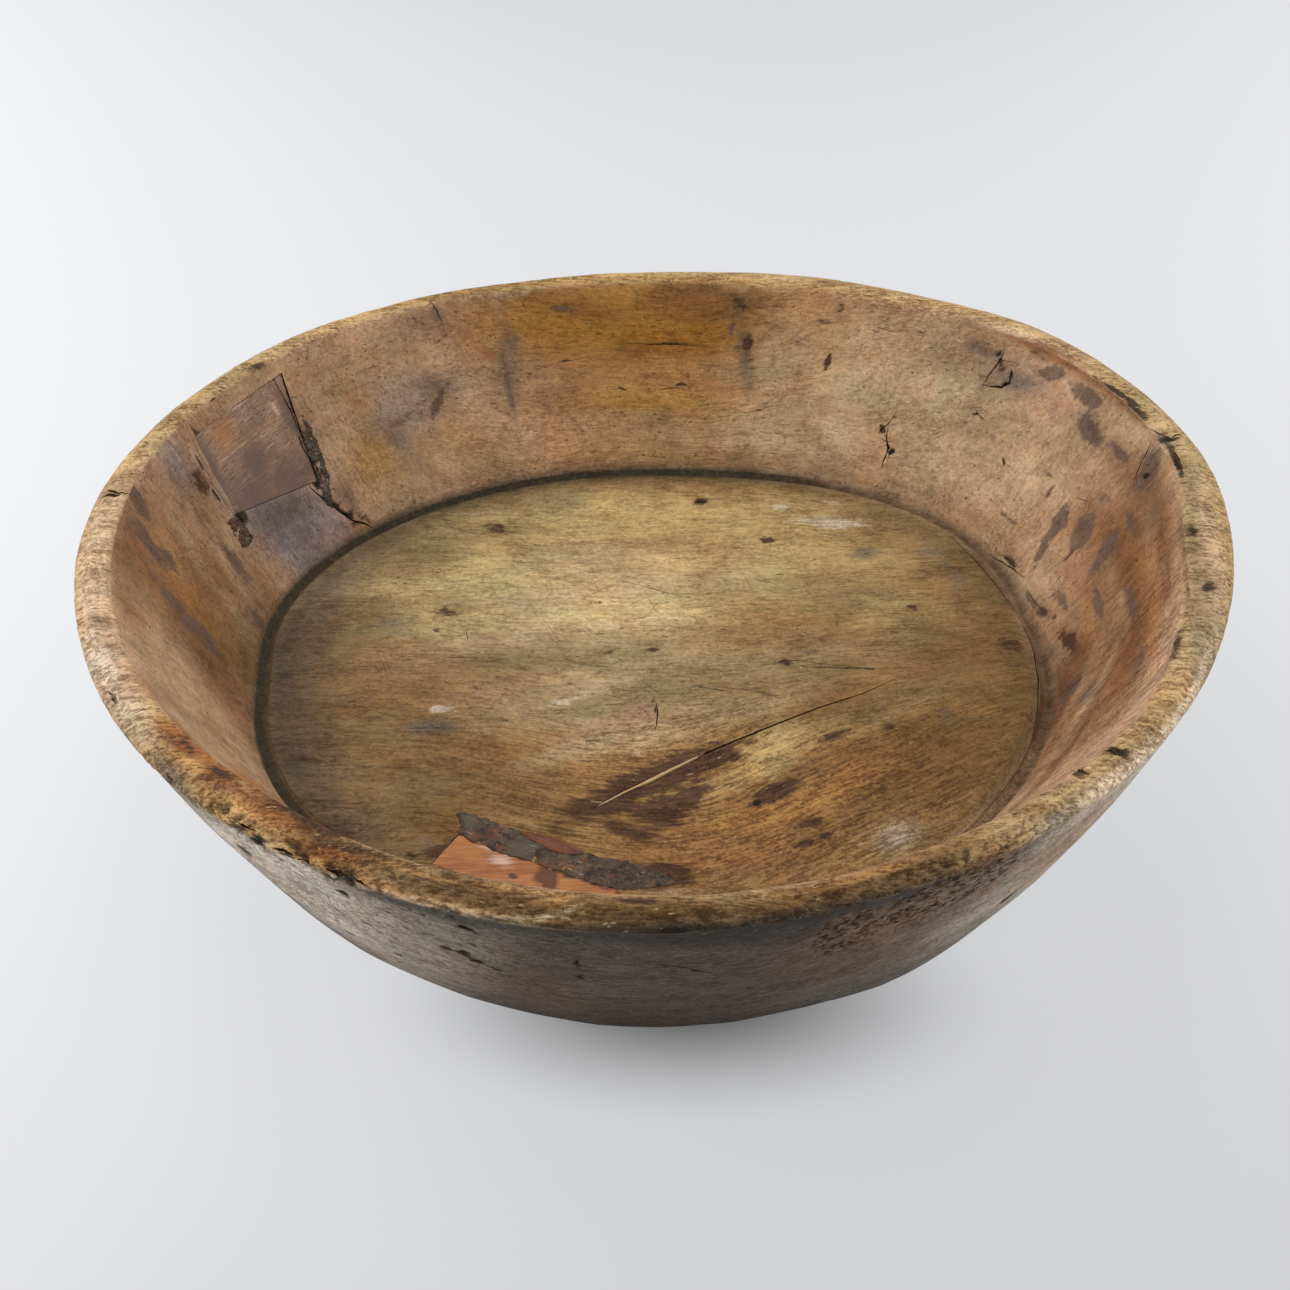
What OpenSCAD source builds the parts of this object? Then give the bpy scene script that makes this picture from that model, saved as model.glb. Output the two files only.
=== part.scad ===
// Hewn dough bowl, carved out of one piece of a log with its grain along X.
// It stands on its flat base at z = 0, and the middle of its rim is over the origin.
// Worn places of the hollow were mended by hand: boards let into the wall and the floor,
// a slip beside the floor board, pitch run into their seams, and a sliver in the crack.

/* [Bowl] */
// Length over the rim, along the grain
bowl_l = 600; // [560:1:720]
// Width over the rim, across the grain
bowl_w = 582; // [550:1:700]
// Height from the base to the crest of the rim
bowl_h = 146; // [125:1:200]

/* [Rim] */
// Thickness of the rim, where its share is 1
rim_t = 24; // [16:0.5:32]
// How far the outer edge of the rim lies below its crest
rim_fall = 7; // [2:0.5:12]
// How far the worn top of the rim swells above a straight slope
rim_crown = 1.5; // [0:0.1:3]
// Reach of the worn round on the inner edge
rim_in_r = 5; // [1:0.5:8]
// Reach of the worn round on the outer edge
rim_out_r = 7; // [1:0.5:10]

/* [Hollow] */
// Depth from the crest of the rim to the edge of the floor
hollow_d = 90; // [60:1:105]
// Length of the floor
floor_l = 412; // [360:1:430]
// Width of the floor
floor_w = 396; // [350:1:410]
// How far the middle of the floor lies below its edge
floor_dish = 2; // [0:0.5:6]
// Hollowness of the inner wall at half its height
wall_hollow = 2; // [0:0.5:6]
// Width of the groove round the floor
groove_w = 9; // [4:0.5:14]
// Depth of the groove below the floor's edge
groove_d = 3; // [1:0.5:6]
// How far the foot of the wall stands above the floor's edge
groove_rise = 4; // [1:0.5:8]

/* [Outside] */
// Length of the flat base
base_l = 430; // [410:1:470]
// Width of the flat base
base_w = 418; // [400:1:460]
// Reach of the worn round at the base's edge
base_r = 7; // [1:0.5:12]
// Swell of the outside wall at half its height
wall_belly = 4; // [0:0.5:10]

/* [Wall board] */
// Where round the bowl the board is let in, anticlockwise from +X
wall_board_bearing = 148.5; // [100:0.5:200]
// Height of the board, up the slope of the wall
wall_board_h = 58; // [30:1:64]
// Width of the board across its top
wall_board_w = 76; // [40:1:100]
// Thickness of the board
wall_board_t = 7; // [4:0.5:9]
// Distance up the wall from its foot to the board's middle
wall_board_up = 65; // [50:1:66]
// How far the board's face lies below the wall
wall_board_sink = 1; // [0:0.5:2]
// Lean of the board's face, its lower edge lying deeper
wall_board_lean = 2.5; // [0:0.5:5]

/* [Floor board] */
// Where round the floor the board is let in, anticlockwise from +X
floor_board_bearing = 247.5; // [200:0.5:300]
// Length of the board
floor_board_l = 90; // [50:1:110]
// Width of the board
floor_board_w = 28; // [16:1:34]
// Thickness of the board
floor_board_t = 6; // [3:0.5:12]
// Distance from the floor's edge to the middle of the board
floor_board_in = 28; // [24:0.5:60]
// Turn of the board from the line of the floor's edge
floor_board_turn = -4.5; // [-12:0.5:12]
// Length of the slip behind the board's seam
slip_l = 40; // [20:1:60]
// Width of the slip at its broad end
slip_w = 8; // [4:0.5:10]
// Thickness of the slip
slip_t = 4; // [2:0.5:10]

/* [Pitch] */
// Length of the run of pitch along the floor board
floor_pitch_l = 122; // [60:1:140]
// Breadth of that run
floor_pitch_w = 11; // [6:0.5:14]
// Depth of the pitch in its seam
pitch_t = 4; // [2:0.5:6]
// How far the pitch stands above the wood
pitch_proud = 0.8; // [0:0.1:1.5]
// Breadth of the run of pitch beside the wall board
wall_pitch_w = 8; // [4:0.5:12]

/* [Crack and sliver] */
// Where round the floor the middle of the sliver lies, anticlockwise from +X
splint_bearing = 266; // [180:0.5:360]
// Distance of the sliver's middle from the middle of the floor
splint_out = 84; // [40:1:110]
// Turn of the sliver from the line out from the middle
splint_turn = 132; // [90:0.5:180]
// Length of the sliver pressed into the crack
splint_l = 74; // [30:1:100]
// Breadth of the sliver at its middle
splint_w = 3; // [1.5:0.1:5]
// Depth of the sliver in the floor
splint_t = 4; // [2:0.5:10]
// How far the sliver stands above the floor
splint_proud = 0.6; // [0:0.1:2]
// Length of the open crack beyond the sliver
crack_l = 122; // [30:1:150]
// Breadth of the open crack where it leaves the sliver
crack_w = 1.4; // [0.8:0.1:3]
// Depth of the open crack
crack_d = 4; // [2:0.5:10]

/* [Hidden] */

// Clearance of a let-in piece from its bed and its neighbours
seam = 0.3;
// Overrun of every cut past the surface that it opens
over = 6;
// Stations round the bowl
stations = 96;

// Outlines, as shares of an oval, from +X anticlockwise in steps of 15 degrees
rim_share = [0.993, 1.029, 1.051, 1.062, 1.038, 1.018, 0.996, 0.984, 1.003, 1.015, 1.01, 1.007,
    1, 0.993, 0.995, 0.994, 0.988, 0.99, 0.996, 0.981, 0.966, 0.961, 0.962, 0.968];
rim_t_share = [1.19, 0.97, 0.84, 0.9, 1.02, 1.04, 0.85, 0.68, 0.75, 0.83, 0.78, 0.76,
    0.82, 0.84, 0.92, 0.92, 0.76, 0.7, 0.75, 0.66, 0.64, 0.68, 0.74, 0.96];
rim_fall_share = [1, 1, 1, 1, 1, 1, 1, 1, 1, 1, 1, 1, 1, 1, 1.05, 1.15, 1.4, 1.4, 1.1, 1, 1, 1, 1, 1];
floor_share = [0.985, 0.998, 1.048, 1.07, 1.052, 1.019, 1, 1.01, 1.014, 1.027, 1.039, 1.031,
    1, 1.009, 1.016, 1, 1, 0.99, 0.99, 0.99, 0.985, 0.975, 0.966, 0.974];
base_share = [1, 1.01, 1.02, 1.03, 1.02, 1.01, 1, 0.99, 1, 1.01, 1.01, 1,
    1, 1, 1, 1.008, 1.003, 1.005, 1.005, 0.997, 1, 1, 0.99, 0.99];

// Height of the floor's edge above the base
floor_z = bowl_h - hollow_d;

// Plain helpers
function lerp(a, b, s) = a + (b - a) * s;
function dir(a) = [cos(a), sin(a)];
function flat(lists) = [for (l = lists) for (p = l) p];
// A point on the curve from a to b that leans to corner c
function round_to(a, c, b, s) = lerp(lerp(a, c, s), lerp(c, b, s), s);
// Swell that is nothing at both ends of a wall and full at its middle
function swell(s) = 4 * s * (1 - s);

// Value of a table at a bearing, on a smooth closed curve through its entries
function smooth(p, q, r, t, s) =
    q + s * ((r - p) + s * ((2 * p - 5 * q + 4 * r - t) + s * (3 * q - p - 3 * r + t))) / 2;
function along(table, a) =
    let (n = len(table), u = (a % 360) / 360 * n, i = floor(u))
    smooth(table[(i + n - 1) % n], table[i % n], table[(i + 1) % n], table[(i + 2) % n], u - i);
// Radius of an oval at a bearing
function oval(l, w, a) = l * w / 2 / norm([w * cos(a), l * sin(a)]);

// Slopes of the section on the long side: the outside wall, the rim's top and the inner wall
wall_lean = atan2((bowl_l - base_l) / 2, bowl_h - rim_fall);
top_fall = atan2(rim_fall, rim_t);
inner_slope = atan2(hollow_d - groove_rise, (bowl_l - floor_l) / 2 - groove_w - rim_t);
// What a worn round takes off a corner, from its two reaches measured across it
function worn(a, b) = a * b / (a + b);
edge_worn = worn(rim_out_r * sin(wall_lean), rim_out_r * cos(top_fall));
crest_worn = worn(rim_in_r * sin(top_fall), rim_in_r * sin(inner_slope));
// Sizes of the bowl to its unworn corners
sharp_l = bowl_l + 2 * edge_worn;
sharp_w = bowl_w + 2 * edge_worn;
sharp_h = bowl_h + crest_worn;

// The rim's outline, fitted to the bowl's length and width
function rough_rim(a) = dir(a) * oval(sharp_l, sharp_w, a) * along(rim_share, a);
rough = [for (i = [0:stations - 1]) rough_rim(360 * i / stations)];
rough_x = [for (p = rough) p.x];
rough_y = [for (p = rough) p.y];
rough_mid = [max(rough_x) + min(rough_x), max(rough_y) + min(rough_y)] / 2;
rough_span = [max(rough_x) - min(rough_x), max(rough_y) - min(rough_y)];
function rim_edge(a) = let (p = rough_rim(a) - rough_mid)
    [p.x * sharp_l / rough_span.x, p.y * sharp_w / rough_span.y];

// The other outlines at a bearing, as points of the plan
function rim_inner(a) = let (p = rim_edge(a)) p * (1 - rim_t * along(rim_t_share, a) / norm(p));
function floor_edge(a) = dir(a) * oval(floor_l, floor_w, a) * along(floor_share, a);
function wall_foot(a) = floor_edge(a) + dir(a) * groove_w;
function base_edge(a) = dir(a) * oval(base_l, base_w, a) * along(base_share, a);

// Corners of the bowl's section at a bearing
function at(p, z) = [p.x, p.y, z];
function out(a, d) = at(dir(a) * d, 0);
function rim_crest(a) = at(rim_inner(a), sharp_h);
function rim_brow(a) = at(rim_edge(a), sharp_h - rim_fall * along(rim_fall_share, a));
function foot(a) = at(wall_foot(a), floor_z + groove_rise);
function heel(a) = at(base_edge(a), 0);
// A point so far from p on the way to q
function toward(p, q, d) = p + (q - p) * d / norm(q - p);

// The section of the bowl at a bearing, from the base's edge up over the rim to the floor
base_rings = [0, 0.35, 0.7, 1];
wall_rings = [0.2, 0.4, 0.6, 0.8];
rim_rings = [0, 0.25, 0.5, 0.75, 1];
top_rings = [0.35, 0.7];
groove_share = [[0.75, 0.35], [0.4, 1]];
function heel_top(a) = toward(heel(a), rim_brow(a), base_r);
function brow_low(a) = toward(rim_brow(a), heel(a), rim_out_r);
function brow_top(a) = toward(rim_brow(a), rim_crest(a), rim_out_r);
function crest_top(a) = toward(rim_crest(a), rim_brow(a), rim_in_r);
function crest_low(a) = toward(rim_crest(a), foot(a), rim_in_r);
function section(a) = concat(
    [for (s = base_rings) round_to(heel(a) - out(a, base_r), heel(a), heel_top(a), s)],
    [for (s = wall_rings) lerp(heel_top(a), brow_low(a), s) + out(a, wall_belly * swell(s))],
    [for (s = rim_rings) round_to(brow_low(a), rim_brow(a), brow_top(a), s)],
    [for (s = top_rings) lerp(brow_top(a), crest_top(a), s) + [0, 0, rim_crown * swell(s)]],
    [for (s = rim_rings) round_to(crest_top(a), rim_crest(a), crest_low(a), s)],
    [for (s = wall_rings) lerp(crest_low(a), foot(a), s) + out(a, wall_hollow * swell(s))],
    [foot(a)],
    [for (s = groove_share) at(floor_edge(a) + dir(a) * groove_w * s.x, floor_z - groove_d * s.y)],
    [for (s = floor_rings) at(floor_edge(a) * s, floor_z - floor_dish * (1 - s * s))]);
floor_rings = [1, 0.8, 0.55, 0.3];
ring_count = len(section(0));

// The bowl's skin: the sections side by side, closed by a point under and over the middle
skin_points = concat(flat([for (i = [0:stations - 1]) section(360 * i / stations)]),
    [[0, 0, 0], [0, 0, floor_z - floor_dish]]);
under = stations * ring_count;
function spot(i, k) = (i % stations) * ring_count + k;
function strip(i, k) = [
    [spot(i, k), spot(i, k + 1), spot(i + 1, k + 1)],
    [spot(i, k), spot(i + 1, k + 1), spot(i + 1, k)]];
skin_faces = concat(
    flat([for (i = [0:stations - 1]) for (k = [0:ring_count - 2]) strip(i, k)]),
    [for (i = [0:stations - 1]) [under, spot(i, 0), spot(i + 1, 0)]],
    [for (i = [0:stations - 1]) [under + 1, spot(i + 1, ring_count - 1), spot(i, ring_count - 1)]]);

// Places the children on the inner wall: X up the slope, Y along it, Z out of the wood
module on_wall(bearing, up) {
    low = foot(bearing);
    top = rim_crest(bearing);
    rise = top.z - low.z;
    run = norm([top.x, top.y]) - norm([low.x, low.y]);
    slope = atan2(rise, run);
    rotate([0, 0, bearing])
        translate([norm([low.x, low.y]), 0, low.z])
            rotate([0, -slope, 0])
                translate([up, 0, -wall_hollow * swell(up / norm([rise, run])) * sin(slope)])
                    children();
}

// Height of the dished floor at a distance from the middle, on a bearing
function floor_at(a, d) = floor_z - floor_dish * (1 - pow(d / norm(floor_edge(a)), 2));

// Places the children on the floor: X along the edge, Y towards the middle, Z up
module on_floor(bearing, inset, turn) {
    d = norm(floor_edge(bearing)) - inset;
    rotate([0, 0, bearing])
        translate([d, 0, floor_at(bearing, d)])
            rotate([0, 0, 90 + turn])
                children();
}

// A flat piece with its face at the given height and its back the thickness below it
module slab(face, t) {
    translate([0, 0, face - t])
        linear_extrude(height = t)
            children();
}

// The bed of such a piece, larger all round by the seam and open above
module bed(face, t) {
    translate([0, 0, face - t - seam])
        linear_extrude(height = t + seam + over)
            offset(delta = seam)
                children();
}

// Where each group of mends lies
module at_wall_board() {
    on_wall(wall_board_bearing, wall_board_up)
        rotate([0, -wall_board_lean, 0])
            children();
}
module at_floor_board() {
    on_floor(floor_board_bearing, floor_board_in, floor_board_turn)
        children();
}
module at_splint() {
    rotate([0, 0, splint_bearing])
        translate([splint_out, 0, floor_at(splint_bearing, splint_out)])
            rotate([0, 0, splint_turn])
                children();
}

// Outlines of the let-in pieces, as shares of their sizes
function scaled(shares, size) = [for (s = shares) [s.x * size.x, s.y * size.y]];
function backwards(list) = [for (i = [len(list) - 1:-1:0]) list[i]];
wall_board_share = [[0.5, 0.45], [0.5, -0.55], [-0.56, -0.33], [-0.33, 0.5]];
pitch_line_share = [[0.12, -0.47], [-0.2, -0.405], [-0.56, -0.33], [-0.85, -0.24]];
pitch_reach_share = [0.6, 1.2, 1.1, 0.5];
pitch_lap_share = 0.3;
pitch_pad_share = [[-0.1, 0.45], [-0.02, 0.56], [-0.3, 0.66], [-0.62, 0.64], [-0.6, 0.5], [-0.4, 0.42]];
slip_share = [[-0.5, 0.2], [-0.32, 0.52], [0.04, 0.7], [0.34, 0.5], [0.48, 0.2], [0.34, -0.25],
    [0.14, -0.48], [-0.04, -0.4], [-0.34, -0.05]];
pitch_run_share = [[-0.36, -0.3], [0.37, -0.3], [0.45, 0.25], [0.62, 1.1], [0.58, 1.65], [0.42, 1.68],
    [0.31, 1.6], [0.17, 1.3], [-0.2, 1.27], [-0.32, 1.3], [-0.38, 0.9]];
splint_share = [[-0.5, 0], [-0.2, 0.5], [0.1, 0.42], [0.5, 0.14], [0.5, -0.14], [0, -0.5]];
crack_line_share = [[0, 0], [0.16, -0.011], [0.39, -0.034], [0.6, -0.06], [0.8, -0.1], [1, -0.11]];
crack_taper_share = [1, 0.9, 0.8, 0.7, 0.5, 0.2];

module wall_board_plan() {
    polygon(scaled(wall_board_share, [wall_board_h, wall_board_w]));
}
module wall_pitch_plan() {
    line = scaled(pitch_line_share, [wall_board_h, wall_board_w]);
    reach = wall_pitch_w * pitch_reach_share;
    difference() {
        union() {
            polygon(concat(
                [for (p = line) p + [0, wall_pitch_w * pitch_lap_share]],
                backwards([for (i = [0:len(line) - 1]) line[i] - [0, reach[i]]])));
            polygon(scaled(pitch_pad_share, [wall_board_h, wall_board_w]));
        }
        offset(delta = seam)
            wall_board_plan();
    }
}
module floor_board_plan() {
    square([floor_board_l, floor_board_w], center = true);
}
// The slip lies behind the pitch, a pitch's breadth from the board's edge
module slip_plan() {
    translate([0, floor_board_w / 2 + floor_pitch_w])
        polygon(scaled(slip_share, [slip_l, slip_w]));
}
module floor_pitch_plan() {
    difference() {
        translate([0, floor_board_w / 2])
            polygon(scaled(pitch_run_share, [floor_pitch_l, floor_pitch_w]));
        offset(delta = seam)
            floor_board_plan();
        offset(delta = seam)
            slip_plan();
    }
}
module splint_plan() {
    polygon(scaled(splint_share, [splint_l, splint_w]));
}
// The open crack runs on from the sliver's end and dies away
module crack_plan() {
    line = scaled(crack_line_share, [crack_l, crack_l]);
    half = [for (s = crack_taper_share) [0, crack_w * s / 2]];
    translate([splint_l / 2, 0])
        polygon(concat(
            [for (i = [0:len(line) - 1]) line[i] + half[i]],
            backwards([for (i = [0:len(line) - 1]) line[i] - half[i]])));
}

// Rise of the curved wall above the board's middle, at the board's sides
wall_sag = pow(wall_board_w / 2, 2) / 2 / norm(rim_inner(wall_board_bearing));
wall_pitch_face = wall_sag + pitch_proud;
wall_pitch_t = wall_pitch_face + pitch_t;

module bowl() {
    color("peru")
        difference() {
            polyhedron(skin_points, skin_faces, convexity = 6);
            at_wall_board() {
                bed(-wall_board_sink, wall_board_t) wall_board_plan();
                bed(wall_pitch_face, wall_pitch_t) wall_pitch_plan();
            }
            at_floor_board() {
                bed(0, floor_board_t) floor_board_plan();
                bed(0, slip_t) slip_plan();
                bed(pitch_proud, pitch_t) floor_pitch_plan();
            }
            at_splint() {
                bed(splint_proud, splint_t) splint_plan();
                slab(over, crack_d + over) crack_plan();
            }
        }
}

module wall_board() {
    color("rosybrown")
        at_wall_board()
            slab(-wall_board_sink, wall_board_t)
                wall_board_plan();
}

module wall_pitch() {
    color("dimgray")
        at_wall_board()
            slab(wall_pitch_face, wall_pitch_t)
                wall_pitch_plan();
}

module floor_board() {
    color("sienna")
        at_floor_board()
            slab(0, floor_board_t)
                floor_board_plan();
}

module floor_slip() {
    color("sienna")
        at_floor_board()
            slab(0, slip_t)
                slip_plan();
}

module floor_pitch() {
    color("dimgray")
        at_floor_board()
            slab(pitch_proud, pitch_t)
                floor_pitch_plan();
}

module splint() {
    color("khaki")
        at_splint()
            slab(splint_proud, splint_t)
                splint_plan();
}

bowl();
wall_board();
wall_pitch();
floor_board();
floor_slip();
floor_pitch();
splint();
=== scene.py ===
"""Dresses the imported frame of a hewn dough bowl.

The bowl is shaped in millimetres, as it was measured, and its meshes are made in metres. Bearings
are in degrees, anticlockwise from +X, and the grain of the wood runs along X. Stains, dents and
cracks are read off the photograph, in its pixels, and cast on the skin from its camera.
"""
import logging
import math
from contextlib import contextmanager
from dataclasses import dataclass, field
from enum import Enum
from functools import lru_cache
from typing import Callable, Iterable, Iterator, Sequence

import bpy
import numpy as np
from mathutils import Matrix, Vector, noise


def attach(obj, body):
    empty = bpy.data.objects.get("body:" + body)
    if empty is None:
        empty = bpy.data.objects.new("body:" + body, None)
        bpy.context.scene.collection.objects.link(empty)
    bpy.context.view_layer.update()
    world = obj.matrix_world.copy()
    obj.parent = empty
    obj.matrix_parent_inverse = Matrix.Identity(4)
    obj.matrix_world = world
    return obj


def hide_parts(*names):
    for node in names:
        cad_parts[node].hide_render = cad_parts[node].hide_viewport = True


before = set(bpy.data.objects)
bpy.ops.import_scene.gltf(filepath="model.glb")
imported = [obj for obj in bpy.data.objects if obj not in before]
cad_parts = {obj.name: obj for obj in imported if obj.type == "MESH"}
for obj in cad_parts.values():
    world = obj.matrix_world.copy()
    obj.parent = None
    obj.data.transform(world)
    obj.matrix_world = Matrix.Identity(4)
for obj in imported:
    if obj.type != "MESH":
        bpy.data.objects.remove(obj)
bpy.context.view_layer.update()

MM = 0.001
PHOTO_PX = 1290.0
LOG = logging.getLogger("dough_bowl")
Colour = tuple[float, float, float]
Outline = Sequence[tuple[float, float]]


# Shader maths


class Value:
    """A socket of a material's tree, with arithmetic that adds its Math nodes."""

    def __init__(self, tree: "Tree", socket: bpy.types.NodeSocket) -> None:
        """Wraps an output socket of the tree."""
        self.tree = tree
        self.socket = socket

    def _math(self, operation: str, *terms: "Value | float") -> "Value":
        """Adds one Math node on the terms and returns its result."""
        return self.tree.node("ShaderNodeMath", {"operation": operation}, dict(enumerate(terms)))

    def __add__(self, other: "Value | float") -> "Value":
        """Sum."""
        return self._math("ADD", self, other)

    def __sub__(self, other: "Value | float") -> "Value":
        """Difference."""
        return self._math("SUBTRACT", self, other)

    def __rsub__(self, other: "Value | float") -> "Value":
        """Reflected difference."""
        return self._math("SUBTRACT", other, self)

    def __mul__(self, other: "Value | float") -> "Value":
        """Product."""
        return self._math("MULTIPLY", self, other)

    __radd__ = __add__
    __rmul__ = __mul__

    def high(self, other: "Value | float") -> "Value":
        """The larger of two values."""
        return self._math("MAXIMUM", self, other)

    def step(self, low: float, high: float) -> "Value":
        """A soft step from 0 at low to 1 at high."""
        return self.tree.node(
            "ShaderNodeMapRange", {"interpolation_type": "SMOOTHSTEP", "clamp": True},
            {"Value": self, "From Min": low, "From Max": high})


class Tree:
    """The node tree of one material."""

    def __init__(self, name: str) -> None:
        """Makes an empty material with its shader and output.

        Args:
            name: The material's name.
        """
        self.material = bpy.data.materials.new(name)
        self.material.use_nodes = True
        self.nodes = self.material.node_tree.nodes
        self.links = self.material.node_tree.links
        self.nodes.clear()
        self.shader = self.nodes.new("ShaderNodeBsdfPrincipled")
        output = self.nodes.new("ShaderNodeOutputMaterial")
        self.links.new(self.shader.outputs[0], output.inputs["Surface"])

    def node(self, kind: str, settings: dict, inputs: dict, result: "int | str" = 0) -> Value:
        """Adds a node.

        Args:
            kind: The node's type.
            settings: Its properties, set first.
            inputs: Values or links of its sockets, by name or number.
            result: The output socket that is wanted.

        Returns:
            That output.
        """
        node = self.nodes.new(kind)
        for key, setting in settings.items():
            setattr(node, key, setting)
        for key, value in inputs.items():
            self.feed(node.inputs[key], value)
        return Value(self, node.outputs[result])

    def feed(self, socket: bpy.types.NodeSocket, value: "Value | float | Sequence[float]") -> None:
        """Links a value to a socket, or sets it there.

        Args:
            socket: The input socket.
            value: A value to link, or plain numbers.
        """
        if isinstance(value, Value):
            self.links.new(value.socket, socket)
        else:
            socket.default_value = value

    def place(self, scale: Colour = (1, 1, 1), turn: float = 0.0, middle: Colour = (0, 0, 0)) -> Value:
        """Object coordinates about a middle, turned about Z by degrees and then scaled.

        Args:
            scale: Scale along each axis.
            turn: Degrees about Z.
            middle: The point that they turn about.

        Returns:
            The coordinates.
        """
        spot = self.node("ShaderNodeTexCoord", {}, {}, "Object")
        spot = self.node("ShaderNodeVectorMath", {"operation": "SUBTRACT"}, {0: spot, 1: middle})
        spot = self.node("ShaderNodeVectorRotate", {"rotation_type": "Z_AXIS"},
                         {"Vector": spot, "Angle": math.radians(turn)})
        return self.scaled(spot, scale)

    def scaled(self, spot: Value, scale: Colour) -> Value:
        """Coordinates times a scale along each axis."""
        return self.node("ShaderNodeVectorMath", {"operation": "MULTIPLY"}, {0: spot, 1: scale})

    def noise(self, spot: Value, scale: float = 1.0, detail: float = 4.0, rough: float = 0.55,
              distortion: float = 0.0) -> Value:
        """Fractal noise at a spot, about 0.5."""
        return self.node("ShaderNodeTexNoise", {}, {
            "Vector": spot, "Scale": scale, "Detail": detail, "Roughness": rough,
            "Distortion": distortion})

    def attribute(self, name: str, output: str = "Fac") -> Value:
        """A value that the mesh carries."""
        return self.node("ShaderNodeAttribute", {"attribute_name": name}, {}, output)

    def mix(self, low: "Value | Colour", high: "Value | Colour", factor: "Value | float",
            blend: str = "MIX") -> Value:
        """Mixes two colours.

        Args:
            low: The colour at 0.
            high: The colour at 1.
            factor: Share of the second.
            blend: Way of blending.

        Returns:
            The mixed colour.
        """
        tidy = [c if isinstance(c, Value) else (*c, 1.0) for c in (low, high)]
        return self.node("ShaderNodeMix", {"data_type": "RGBA", "blend_type": blend},
                         {0: factor, 6: tidy[0], 7: tidy[1]}, 2)

    def finish(self, colour: "Value | Colour", rough: "Value | float", height: "Value | None" = None,
               depth: float = 0.0006, **sockets: float) -> bpy.types.Material:
        """Feeds the shader.

        Args:
            colour: Base colour.
            rough: Roughness.
            height: Height for the bump, if there is one.
            depth: Metres that a height of 1 stands for.
            sockets: Plain numbers for other sockets, by name with underscores.

        Returns:
            The material.
        """
        self.feed(self.shader.inputs["Base Color"],
                  colour if isinstance(colour, Value) else (*colour, 1.0))
        self.feed(self.shader.inputs["Roughness"], rough)
        if height is not None:
            bump = self.node("ShaderNodeBump", {}, {"Strength": 1.0, "Distance": depth,
                                                    "Height": height})
            self.feed(self.shader.inputs["Normal"], bump)
        for key, value in sockets.items():
            self.shader.inputs[key.replace("_", " ")].default_value = value
        return self.material


# Form of the bowl


def along(table: Sequence[float], bearing: np.ndarray) -> np.ndarray:
    """Values of a table of equal steps round the bowl, on a smooth closed curve.

    Args:
        table: Entries from +X anticlockwise.
        bearing: Bearings in degrees.

    Returns:
        The values at those bearings.
    """
    entries = np.asarray(table, float)
    count = len(entries)
    place = np.mod(bearing, 360.0) / 360.0 * count
    step = np.floor(place).astype(int)
    s = place - step
    p, q, r, t = (entries[(step + k) % count] for k in (-1, 0, 1, 2))
    return q + s * ((r - p) + s * ((2 * p - 5 * q + 4 * r - t) + s * (3 * q - p - 3 * r + t))) / 2


def soft_step(values: np.ndarray, low: float, high: float) -> np.ndarray:
    """A soft step from 0 at low to 1 at high."""
    s = np.clip((values - low) / (high - low), 0.0, 1.0)
    return s * s * (3.0 - 2.0 * s)


def swell(s: "float | np.ndarray") -> "float | np.ndarray":
    """Swell that is nothing at both ends and full in the middle."""
    return 4 * s * (1 - s)


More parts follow.
